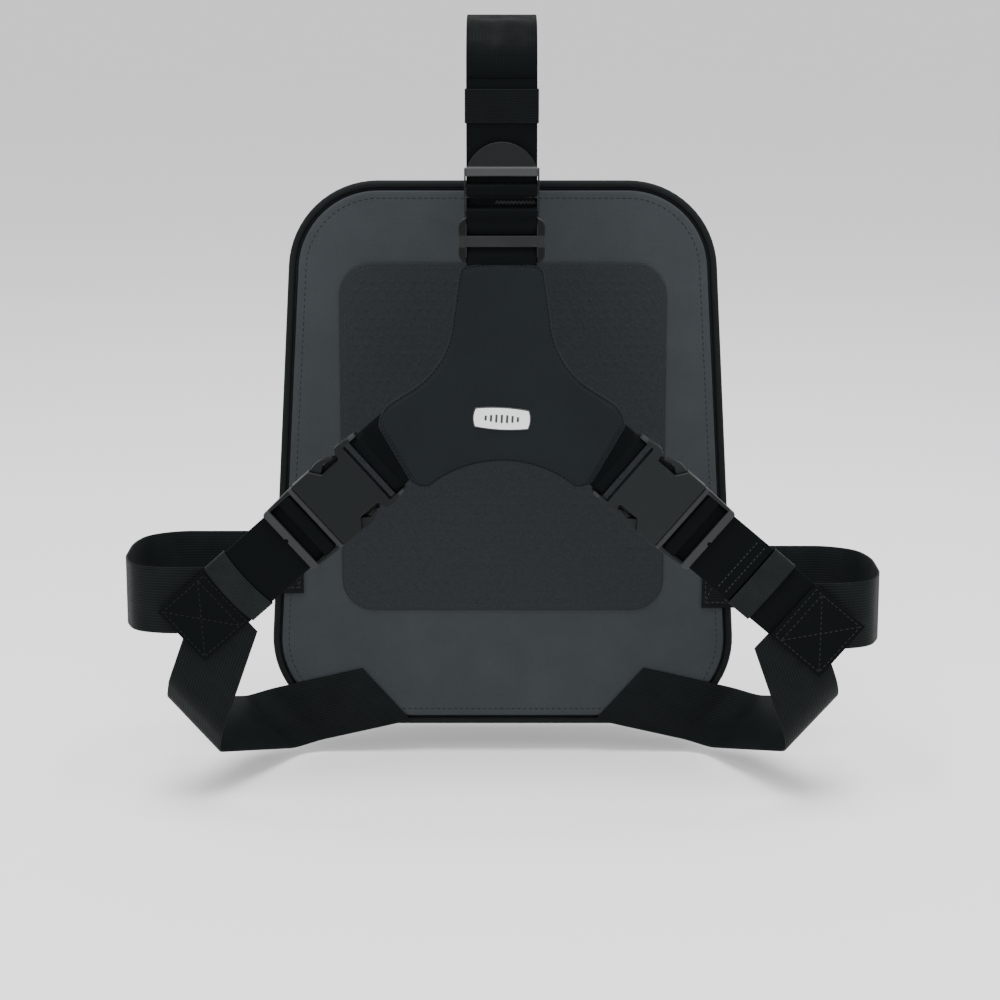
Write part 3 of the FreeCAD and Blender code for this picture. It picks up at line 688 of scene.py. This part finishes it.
def stitches(name, rows, material, body, length=2.3, pitch=3.4, radius=0.34):
    """Sewing stitches as small capsules along rows; a row is (points in space, outward direction)."""
    verts = []
    faces = []
    around = 6
    profile = ((-0.5, 0.0), (-0.36, 0.8), (0.0, 1.0), (0.36, 0.8), (0.5, 0.0))
    for points, outward in rows:
        points = [Vector(point) for point in points]
        lengths = [0.0]
        for here, there in zip(points, points[1:]):
            lengths.append(lengths[-1] + (there - here).length)
        count = max(1, int(lengths[-1] / pitch))
        for index in range(count):
            at = (index + 0.5) * lengths[-1] / count
            leg = max(i for i, run in enumerate(lengths[:-1]) if run <= at)
            share = (at - lengths[leg]) / (lengths[leg + 1] - lengths[leg])
            middle = points[leg].lerp(points[leg + 1], share)
            along = (points[leg + 1] - points[leg]).normalized()
            out = Vector(outward).normalized()
            across = along.cross(out)
            base = len(verts)
            for reach, size in profile:
                for side in range(around):
                    angle = 2 * math.pi * side / around
                    verts.append(middle + along * (reach * length)
                                 + across * (math.cos(angle) * radius * size)
                                 + out * (math.sin(angle) * radius * 0.8 * size))
            for row in range(len(profile) - 1):
                for side in range(around):
                    ahead = (side + 1) % around
                    faces.append((base + row * around + side, base + row * around + ahead,
                                  base + (row + 1) * around + ahead, base + (row + 1) * around + side))
    obj = make_piece(name, verts, faces, material, body, None, 80.0)
    fix_normals(obj, 1e-6)
    return obj


def local_row(place, points, level):
    """A stitch row given in a local frame's (along, across) at a level."""
    out = place.to_3x3() @ Vector((0, 0, 1))
    return ([place @ Vector((x, y, level)) for x, y in points], out)


# ---------------------------------------------------------------- harness: top

UP = rear_frame(HARNESS_X, 0.0, (0.0, 1.0))
YOKE_PLACE = rear_frame(HARNESS_X, 0.0, (1.0, 0.0))
WEB_SECTION = band_section(WEB_WIDTH, WEB_THICK)
PAD_SIDE = -CHAIR_DEPTH - 0.7


def build_top():
    # the strap turns round the lock's middle bar
    before_bar, after_bar, over_bar = 174.95, 181.55, 10.35
    points = [
        (128.0, PAD_SIDE), (238.0, PAD_SIDE), (266.0, PAD_SIDE + 5.0), (280.0, PAD_SIDE + 24.0),
        (284.4, PAD_SIDE + 54.0), (279.5, PAD_SIDE + 90.0), (266.0, LOAD_PLY - 4.5),
        (253.0, LOAD_PLY), (before_bar, LOAD_PLY), (before_bar, over_bar),
        (after_bar, over_bar), (after_bar, TAIL_PLY), (246.0, TAIL_PLY),
    ]
    strap = band("top_strap_webbing", UP, points, WEB_SECTION, WEBBING, None)
    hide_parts("top_strap")
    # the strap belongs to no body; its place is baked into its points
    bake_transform(strap)
    link = [
        (100.0, YOKE_PLY), (130.6, YOKE_PLY), (133.2, 6.75), (136.6, 6.75), (142.0, 4.75),
        (150.6, 4.75), (156.0, 7.45), (161.0, 7.45), (162.6, 9.55), (166.6, 9.55),
        (166.6, BACK_PLY), (100.0, BACK_PLY),
    ]
    webbing = band("link_loop_webbing", UP, link, WEB_SECTION, WEBBING, None)
    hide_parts("link_webbing")
    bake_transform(webbing)
    # the hem of the loop, seen in the lock's slot with its zigzag row
    band("link_hem", UP, [(161.6, 4.75), (173.2, 4.75)], WEB_SECTION, WEBBING,
         "ladder_lock")
    zigzag = []
    turns = 22
    for index in range(turns + 1):
        across = 4.0 - 25.0 * index / turns
        zigzag.append((169.2 + 2.6 * (index % 2), across))
    rows = [local_row(UP, zigzag[index:index + 2], 5.6) for index in range(turns)]
    stitches("link_hem_stitches", rows, THREAD, "ladder_lock", 2.5, 2.6, 0.4)
    keeper = sleeve("top_keeper_loop", UP, 219.3, 21.0, "top_keeper", 0.0, DARK_ELASTIC,
                    0.6)
    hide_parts("top_keeper")
    # where the strap is sewn to the pad's rear border
    box = [(131.0, -19.0), (166.0, -19.0), (166.0, 19.0), (131.0, 19.0), (131.0, -19.0),
           (166.0, 19.0)]
    cross = [(131.0, 19.0), (166.0, -19.0)]
    level = PAD_SIDE + WEB_THICK / 2
    stitches("top_strap_box_stitch", [local_row(UP, box, level), local_row(UP, cross, level)],
             THREAD, "root")


# ---------------------------------------------------------------- harness: yoke

def yoke_loop(step=1.2):
    return arc_loop((-21.0, 128.6), [
        ((0.0, 130.6), (21.0, 128.6)),
        ((23.3, 127.5), (24.3, 125.0)),
        ((28.5, 96.0),),
        ((36.8, 69.9), (57.5, 49.6)),
        ((67.9, 43.0),),
        ((73.4, 37.4), (75.6, 29.0)),
        ((57.6, -2.6),),
        ((54.0, -6.6), (46.7, -7.6)),
        ((0.0, 8.7), (-46.7, -7.6)),
        ((-54.0, -6.6), (-57.6, -2.6)),
        ((-75.6, 29.0),),
        ((-73.4, 37.4), (-67.9, 43.0)),
        ((-57.5, 49.6),),
        ((-36.8, 69.9), (-28.5, 96.0)),
        ((-24.3, 125.0),),
        ((-23.3, 127.5), (-21.0, 128.6)),
    ], step)


def build_yoke():
    outline = yoke_loop()
    rim = grown(outline, 2.6)

    def top(spot, away):
        crown = 0.5 * (1 - math.exp(-away / 14))
        pucker = 0.08 * noise.noise(Vector((spot.x * 0.08, spot.y * 0.08, 3.0)))
        return 7.0 + 1.1 * round_edge(away, 1.4) + crown + pucker

    outer = plate("yoke_outer", YOKE_PLACE, outline, top, lambda spot, away: 6.3, 3.0, YOKE,
                  "root")
    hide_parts("yoke_outer_panel")

    def rim_top(spot, away):
        return 5.9 + 1.0 * round_edge(away, 0.9) - 0.4 * math.exp(-((away - 1.4) / 0.5) ** 2)

    edge = plate("yoke_rim", YOKE_PLACE, rim, rim_top, lambda spot, away: 5.8, 4.0, YOKE_EDGE,
                 "root")
    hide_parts("yoke_foam")

    def under_bottom(spot, away):
        return 5.6 - 5.1 * round_edge(away, 4.5)

    under = plate("yoke_under", YOKE_PLACE, grown(outline, 0.6), lambda spot, away: 5.8,
                  under_bottom, 4.0, YOKE_EDGE, "root")
    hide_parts("yoke_inner_panel")
    sewn = grown(outline, 1.35)
    closed = sewn + sewn[:1]
    row = local_row(YOKE_PLACE, [(spot.x, spot.y) for spot in closed], 6.65)
    # the stitches carry painted shade: their near-black colour stands for the shaded seam groove
    stitches("yoke_stitches", [row], SEAM_THREAD_AND_SHADE, "root", 2.1, 2.7, 0.34)


def build_label():
    """A white domed badge with a dark line round it and a row of plain bars."""
    half_length, half_height, bow, tilt = 18.5, 7.5, 1.2, math.radians(3.0)
    place = rear_frame(HARNESS_X, 34.4, (math.cos(tilt), -math.sin(tilt)))
    white, tree, shader = new_material("badge_white", (0.72, 0.73, 0.74), 0.28, 0.0, 0.5)
    speck = noise_node(tree, coordinates(tree, "Object"), 160.0)
    tint(tree, shader, speck, (0.66, 0.67, 0.68), (0.8, 0.81, 0.82))
    shader.inputs["Coat Weight"].default_value = 0.4
    dark, tree, shader = new_material("badge_dark", (0.03, 0.03, 0.033), 0.3, 0.0, 0.3)
    speck = noise_node(tree, coordinates(tree, "Object"), 300.0)
    tint(tree, shader, speck, (0.02, 0.02, 0.022), (0.045, 0.045, 0.05))

    def barrel(shrink, step=0.8):
        length, height = half_length - shrink, half_height - shrink
        return arc_loop((-length + bow, -height + bow), [
            ((0.0, -height), (length - bow, -height + bow)),
            ((length, 0.0), (length - bow, height - bow)),
            ((0.0, height), (-length + bow, height - bow)),
            ((-length, 0.0), (-length + bow, -height + bow)),
        ], step)

    def dome(spot, away):
        return 8.5 + 0.6 * round_edge(away, 0.8) + 0.25 * (1 - (spot.x / half_length) ** 2)

    badge = plate("badge", place, barrel(0.0), dome, lambda spot, away: 8.3, 1.6, dark, "root",
                  rings=(0.12, 0.3, 0.6))
    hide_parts("yoke_label")
    plate("badge_face", place, barrel(0.75), lambda spot, away: dome(spot, 9.0) + 0.12
          * round_edge(away, 0.3), lambda spot, away: 8.6, 1.6, white, "root",
          rings=(0.1, 0.3, 0.6))
    bars = 7
    for index in range(bars):
        x = (index - (bars - 1) / 2) * 3.4
        tall = 1.7 + 1.1 * math.sin(math.pi * index / (bars - 1))
        corners = [(x - 0.75, -tall, 0.6), (x + 0.75, -tall, 0.6), (x + 0.75, tall, 0.6),
                   (x - 0.75, tall, 0.6)]
        plate(f"badge_bar_{index + 1}", place, rounded_loop(corners, 0.6, 4),
              lambda spot, away: dome(spot, 9.0) + 0.14 + 0.14 * round_edge(away, 0.3),
              lambda spot, away: 8.7, 0.8, dark, "root", rings=(0.1, 0.3))


# ---------------------------------------------------------------- harness: sides

def build_side(side, spec):
    place = rear_frame(spec["x"], spec["z"], spec["along"])
    strap_body = f"{side}_strap_end"
    stub = [(-22.0, YOKE_PLY), (-2.0, YOKE_PLY), (1.2, 10.05), (6.75, 10.05), (6.75, BACK_PLY),
            (-22.0, BACK_PLY)]
    webbing = band(f"{side}_yoke_loop", place, stub, WEB_SECTION, WEBBING, "root")
    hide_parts(f"{side}_yoke_webbing")
    points = [(spec["strap"], LOAD_PLY), (59.0, LOAD_PLY), (59.0, 10.35), (67.5, 10.35),
              (67.5, TAIL_PLY), (spec["tail"], TAIL_PLY)]
    strap = band(f"{side}_strap_webbing", place, points, WEB_SECTION, WEBBING, strap_body)
    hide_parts(f"{side}_strap")
    # the turned-back end, sewn down as a square patch over the elastics
    patch_level = LOAD_PLY + WEB_THICK - 0.1
    band(f"{side}_strap_patch", place,
         [(spec["patch"], patch_level), (spec["strap"] + 0.2, patch_level)],
         band_section(WEB_WIDTH + 0.4, 1.3), WEBBING, strap_body)
    low, high = spec["patch"] + 3.0, spec["strap"] - 2.2
    side_edge = WEB_WIDTH / 2 - 2.2
    level = patch_level + 0.66
    box = [(low, -side_edge), (high, -side_edge), (high, side_edge), (low, side_edge),
           (low, -side_edge)]
    second = low + 5.0
    rows = [local_row(place, box, level),
            local_row(place, [(second, -side_edge), (second, side_edge)], level),
            local_row(place, [(second, -side_edge), (high, side_edge)], level),
            local_row(place, [(second, side_edge), (high, -side_edge)], level)]
    # the same thread on both patches; the left one is coloured darker as painted shade
    thread = GREY_THREAD if side == "right" else DARK_THREAD
    stitches(f"{side}_patch_stitches", rows, thread, strap_body)
    hem = spec["tail"] - 5.0
    top = TAIL_PLY + WEB_THICK / 2
    hem_rows = [local_row(place, [(x, -19.5), (x, 19.5)], top) for x in (hem - 6.0, hem)]
    if side == "right":
        stitches("right_hem_stitches", hem_rows, THREAD, strap_body, 1.9, 2.9, 0.34)
    keeper = sleeve(f"{side}_keeper_loop", place, 115.0, 17.0, f"{side}_keeper",
                    1.8 if side == "left" else 0.3, KEEPER_ELASTIC)
    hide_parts(f"{side}_keeper")
    build_side_elastic(side, spec)
    build_lower_elastic(side, spec)


def build_side_elastic(side, spec):
    """Level ribbed band round the chair's side to the pad's rear border."""
    hand = spec["hand"]
    rear = -CHAIR_DEPTH - 0.5 - ELASTIC_THICK / 2
    front = 0.7
    reach = 247.0
    points = [
        (spec["elastic_from"], rear), (221.0, rear), (239.0, rear + 7.0), (reach, rear + 28.0),
        (reach + 0.6, front - 36.0), (241.0, front - 12.0), (222.0, front), (137.0, front),
    ]
    place = Matrix(((hand, 0, 0), (0, 0, 1), (0, 1, 0))).to_4x4()
    place.translation = Vector((0, 0, spec["elastic_z"]))
    section = band_section(WEB_WIDTH, ELASTIC_THICK, RIB_PITCH)
    obj = band(f"{side}_side_band", place, points, section, ELASTIC, None,
               flip=-1)
    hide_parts(f"{side}_side_elastic")
    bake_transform(obj)
    sewn = []
    for across in (-18.0, 18.0):
        sewn.append((139.5, across))
        sewn.append((154.0, across))
    box = [sewn[0], sewn[1], sewn[3], sewn[2], sewn[0], sewn[3]]
    out = Vector((0, -1, 0))
    row = [place @ Vector((x_at, across, 0.0)) for x_at, across in box]
    cross = [place @ Vector((x_at, across, 0.0)) for x_at, across in (sewn[1], sewn[2])]
    stitches(f"{side}_band_box_stitch", [(row, out), (cross, out)], THREAD, "root")


def build_lower_elastic(side, spec):
    """A ribbed band folded over the chair's lower corner along two parallel slanted folds."""
    hand = spec["hand"]
    fold = Vector((hand * 201.5, 0, -153.0))
    fold_line = Vector((-hand * 0.665, 0, -0.747))
    inwards = Vector((-hand * 0.747, 0, 0.665))
    drift = 0.55
    stretch = math.hypot(1.0, drift)
    half_section = WEB_WIDTH / 2 * stretch
    rear = -CHAIR_DEPTH - 2.2
    bend = 6.0
    start = spec["lower_from"] / stretch
    corners = [(start, rear), (0.0, rear), (-15.0, rear + 14.0), (4.0, 0.0), (72.0, 0.0)]
    frames = path_frames(bent_path(corners, 2.5, 8, 0.45 if hand > 0 else 0.3, 14.0))
    at_fold = start - bend
    section = band_section(2 * half_section, ELASTIC_THICK, RIB_PITCH * stretch)
    verts = []
    uvs = []
    for spot, left, length in frames:
        for across, lift in section:
            at = spot + left * (ELASTIC_THICK / 2 + lift)
            line = fold + inwards * at.x + fold_line * (drift * (length - at_fold) + across)
            verts.append(Vector((line.x, at.y, line.z)))
            uvs.append((length * stretch, across / stretch))
    faces = skin(len(frames), len(section))
    obj = make_piece(f"{side}_lower_band", verts, faces, ELASTIC, None, uvs)
    fix_normals(obj)
    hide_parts(f"{side}_lower_elastic")
    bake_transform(obj)


# ---------------------------------------------------------------- pad

FACING_PAD = Matrix(((1, 0, 0), (0, 0, 1), (0, 1, 0))).to_4x4()


def pad_loop(inset, step=3.0):
    """The pad's outline in (x, z): wider at the lumbar, narrower at the top."""
    wide, narrow, low, high = 160.0 - inset, 138.0 - inset, -200.0 + inset, 172.0 - inset
    corner = 58.0 - inset
    return rounded_loop([(-wide, low, corner), (wide, low, corner), (narrow, high, corner),
                         (-narrow, high, corner)], step, 16)


def rear_row(loop, level):
    """A closed stitch row on the pad's rear side."""
    return ([FACING_PAD @ Vector((spot.x, spot.y, level)) for spot in loop + loop[:1]], (0, -1, 0))


def build_pad_rear():
    def ripple(spot, away):
        pull = 0.5 * math.exp(-away / 5) * math.sin(spot.x * 0.45) * math.cos(spot.y * 0.41)
        return 1.55 + 1.2 * (1 - round_edge(away, 1.2)) + 0.25 * pull

    panel = plate("rear_panel_cloth", FACING_PAD, pad_loop(4.0), ripple,
                  lambda spot, away: 3.0, 6.0, REAR_FABRIC, "root",
                  rings=(0.4, 1.2, 3.0, 6.0))
    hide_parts("rear_panel")
    grip_loop = round_box(110.0, -120.0, 120.0, 22.0, 3.0, 12)
    grip = plate("grip_patch", FACING_PAD, grip_loop,
                 lambda spot, away: 0.35 + 0.5 * (1 - round_edge(away, 0.8)),
                 lambda spot, away: 1.6, 8.0, GRIP, "root", rings=(0.3, 0.8, 2.0))
    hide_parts("rear_grip_patch")
    build_grip_dots()
    stitches("grip_stitches", [rear_row(grown(grip_loop, -3.5), 0.35)], THREAD, "root",
             2.6, 4.0, 0.3)
    stitches("rear_border_stitches", [rear_row(pad_loop(9.0), 1.6)], DARK_THREAD, "root",
             2.6, 4.0, 0.3)
    place = FACING_PAD.copy()
    place.translation = Vector((0, 5.2, 0))
    cord = tube("piping_cord", pad_loop(0.0), 2.6, place, PIPING, "root", 14)
    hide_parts("edge_piping")
    flange = grown(pad_loop(0.0), -3.2)
    tube("piping_flange", flange, 1.1, place, PIPING, "root", 8)


def build_grip_dots():
    """Small domes of rubber in offset rows over the grip patch."""
    verts = []
    faces = []
    pitch, radius, high, around = 7.0, 1.7, 0.3, 8
    rows = int(226.0 / (pitch * 0.87))
    for row in range(rows):
        z = -112.0 + row * pitch * 0.87
        for column in range(30):
            x = -102.0 + column * pitch + (pitch / 2 if row % 2 else 0)
            over_x, over_z = abs(x) - 88.0, abs(z) - 98.0
            if abs(x) > 103 or abs(z) > 113 or (over_x > 0 and over_z > 0
                                                 and math.hypot(over_x, over_z) > 15):
                continue
            base = len(verts)
            for share, rise in ((1.0, 0.0), (0.75, 0.7), (0.35, 0.95)):
                for step in range(around):
                    angle = 2 * math.pi * step / around
                    verts.append((x + radius * share * math.cos(angle), 0.36 - high * rise,
                                  z + radius * share * math.sin(angle)))
            for ring in range(2):
                for step in range(around):
                    ahead = (step + 1) % around
                    faces.append((base + ring * around + step, base + ring * around + ahead,
                                  base + (ring + 1) * around + ahead,
                                  base + (ring + 1) * around + step))
            faces.append(tuple(base + 2 * around + step for step in range(around)))
    obj = make_piece("grip_dots", verts, faces, GRIP, "root", None, 80.0)
    fix_normals(obj)


def inflate(node, name, shrink, cap, pressure=4.0, voxel=0.005):
    """A pad swollen by cloth pressure from a CAD solid, no point moved further than cap (metres)."""
    obj = bpy.data.objects.new(name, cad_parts[node].data.copy())
    bpy.context.scene.collection.objects.link(obj)
    obj.data.materials.clear()
    low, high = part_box(node)
    middle = (low + high) / 2
    for vert in obj.data.vertices:
        for axis, inset in enumerate(shrink):
            offset = vert.co[axis] - middle[axis]
            reach = (high[axis] - low[axis]) / 2
            vert.co[axis] = middle[axis] + offset * (reach - inset) / reach
    remesh = obj.modifiers.new("remesh", "REMESH")
    remesh.mode = "VOXEL"
    remesh.voxel_size = voxel
    bake_modifiers(obj)
    rest = [vert.co.copy() for vert in obj.data.vertices]
    cloth = obj.modifiers.new("cloth", "CLOTH")
    cloth.settings.quality = 5
    cloth.settings.mass = 0.3
    cloth.settings.tension_stiffness = 12
    cloth.settings.compression_stiffness = 8
    cloth.settings.bending_stiffness = 0.6
    cloth.settings.use_pressure = True
    cloth.settings.uniform_pressure_force = pressure
    cloth.settings.effector_weights.gravity = 0
    cloth.collision_settings.use_collision = False
    for number in range(1, 21):
        bpy.context.scene.frame_set(number)
    bake_modifiers(obj)
    bpy.context.scene.frame_set(1)
    for vert, was in zip(obj.data.vertices, rest):
        move = vert.co - was
        if move.length > cap:
            vert.co = was + move.normalized() * cap
    smooth = obj.modifiers.new("smooth", "SMOOTH")
    smooth.factor = 0.5
    smooth.iterations = 4
    rounder = obj.modifiers.new("subdivide", "SUBSURF")
    rounder.levels = 1
    rounder.render_levels = 1
    bake_modifiers(obj)
    obj.data.shade_smooth()
    return obj


def bake_modifiers(obj):
    bpy.context.view_layer.update()
    graph = bpy.context.evaluated_depsgraph_get()
    mesh = bpy.data.meshes.new_from_object(obj.evaluated_get(graph))
    obj.modifiers.clear()
    obj.data = mesh


def sink_seams(obj, lines, depth, width, front):
    """Presses sewn channels into the front of a pad; a line gives the distance from (x, z)."""
    for vert in obj.data.vertices:
        if vert.co.y < front:
            continue
        for line in lines:
            away = line(vert.co.x / MM, vert.co.z / MM)
            if abs(away) < 4 * width:
                vert.co.y -= depth * MM * math.exp(-(away / width) ** 2)


def build_pad_front():
    cover = inflate("foam_core", "pad_cover", (0.0, 0.0, 0.0), 0.0032)
    low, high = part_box("front_cover")
    for vert in cover.data.vertices:
        vert.co.y = min(max(vert.co.y, low.y + 0.0012), high.y + 0.0015)
    # two upright channels that close in towards the top, and two level ones
    sink_seams(cover, [lambda x, z: abs(x) - 94.0 + 0.06 * (z + 200.0),
                       lambda x, z: z - 30.0 if abs(x) < 110 else 99.0,
                       lambda x, z: z - 92.0 if abs(x) < 106 else 99.0], 2.6, 3.0, 0.03)
    cover.data.materials.append(COVER_FABRIC)
    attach(cover, "root")
    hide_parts("front_cover", "foam_core")
    cushion = inflate("lumbar_cushion", "lumbar_pad", (0.004, 0.002, 0.004), 0.005, 5.0, 0.004)
    low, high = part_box("lumbar_cushion")
    for vert in cushion.data.vertices:
        vert.co.y = min(max(vert.co.y, low.y - 0.003), high.y)
    sink_seams(cushion, [lambda x, z: abs(x) - 44.0], 3.0, 3.5, low.y + 0.012)
    cushion.data.materials.append(CUSHION_FABRIC)
    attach(cushion, "root")
    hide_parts("lumbar_cushion")
    place = FACING_PAD.copy()
    place.translation = Vector((0, 42.6, 0))
    loop = round_box(131.0, -136.0, -8.0, 42.0, 3.0, 14)
    tube("lumbar_piping", loop, 1.9, place, PIPING, "root", 12)


# ---------------------------------------------------------------- carried-over hard parts

def dress(node, material):
    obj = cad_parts[node]
    for slot in obj.material_slots:
        slot.link = "OBJECT"
        slot.material = material


def dress_hardware():
    up = (0.0, 0.0, 1.0)
    lock_colour = (0.0036, 0.0047, 0.0051)
    # each bar zone given below is a painted highlight where that bar catches the light
    dress("ladder_lock", plastic_material("lock_plastic", lock_colour, 0.34,
                                          [((0, 0, 186.8), up, 6.2, 1.3)], 0.2))
    glide_colour = (0.0022, 0.0032, 0.0034)
    dress("tri_glide", plastic_material("glide_plastic", glide_colour, 0.38,
                                        [((0, 0, 142.5), up, 7.6, 0.4)]))
    dress("back_board", BOARD)
    for side, spec in SIDES.items():
        colour = BUCKLE_COLOURS_LIT_AND_SHADED[side]
        along = Vector((spec["along"][0], 0, spec["along"][1])).normalized()
        origin = Vector((spec["x"], 0, spec["z"]))
        # painted highlights on the end bar, the cross bar and the outer bar
        end_bar = (origin + along * 1.0, along, 4.6, 0.6)
        cross_bar = (origin + along * 53.6, along, 3.6, 0.75)
        outer_bar = (origin + along * 74.8, along, 5.6, 0.7)
        dress(f"{side}_buckle_female", plastic_material(f"{side}_female_plastic", colour, 0.42,
                                                        [end_bar]))
        dress(f"{side}_buckle_male", plastic_material(f"{side}_male_plastic", colour, 0.42,
                                                      [cross_bar, outer_bar]))
        prong = plastic_material(f"{side}_prong_plastic", scaled(colour, 1.15))
        dress(f"{side}_prong_upper", prong)
        dress(f"{side}_prong_lower", prong)


# ---------------------------------------------------------------- stage

def build_stage():
    floor_z = cad_box[0].z - 0.004
    floor, tree, shader = new_material("floor", (0.9, 0.9, 0.9), 0.9)
    mottle = noise_node(tree, coordinates(tree, "Object"), 3.0)
    tint(tree, shader, mottle, (0.89, 0.89, 0.89), (0.92, 0.92, 0.92))
    size = 90.0  # far enough that its edge stays out of the picture
    mesh = bpy.data.meshes.new("floor")
    mesh.from_pydata([(-size, -size, floor_z), (size, -size, floor_z), (size, size, floor_z),
                      (-size, size, floor_z)], [], [(0, 1, 2, 3)])
    mesh.materials.append(floor)
    ground = bpy.data.objects.new("floor", mesh)
    bpy.context.scene.collection.objects.link(ground)
    world = bpy.data.worlds.new("studio")
    world.use_nodes = True
    world.node_tree.nodes["Background"].inputs["Color"].default_value = (1, 1, 1, 1)
    world.node_tree.nodes["Background"].inputs["Strength"].default_value = 1.1
    bpy.context.scene.world = world
    add_light("key", (-0.9, -1.5, 1.9), 14.0, 1.4)
    add_light("fill", (1.3, -1.6, 0.9), 6.0, 1.2)
    add_light("top", (0.0, -0.35, 2.2), 70.0, 1.6)


def add_light(name, spot, power, size):
    data = bpy.data.lights.new(name, "AREA")
    data.energy = power
    data.size = size
    light = bpy.data.objects.new(name, data)
    light.location = spot
    aim = Vector((0, -0.06, 0.0)) - Vector(spot)
    light.rotation_euler = aim.to_track_quat("-Z", "Y").to_euler()
    bpy.context.scene.collection.objects.link(light)


def build_camera():
    target = Vector((-0.00192, -0.105, -0.02))
    elevation = math.radians(12.0)
    distance = 1.6
    data = bpy.data.cameras.new("camera")
    data.lens = 90.0
    data.sensor_width = 36.0
    camera = bpy.data.objects.new("camera", data)
    back = Vector((0, -math.cos(elevation), math.sin(elevation)))
    camera.location = target + back * distance
    camera.rotation_euler = (-back).to_track_quat("-Z", "Y").to_euler()
    bpy.context.scene.collection.objects.link(camera)
    bpy.context.scene.camera = camera


build_top()
build_yoke()
build_label()
for side, spec in SIDES.items():
    build_side(side, spec)
build_pad_rear()
build_pad_front()
dress_hardware()
build_stage()
build_camera()
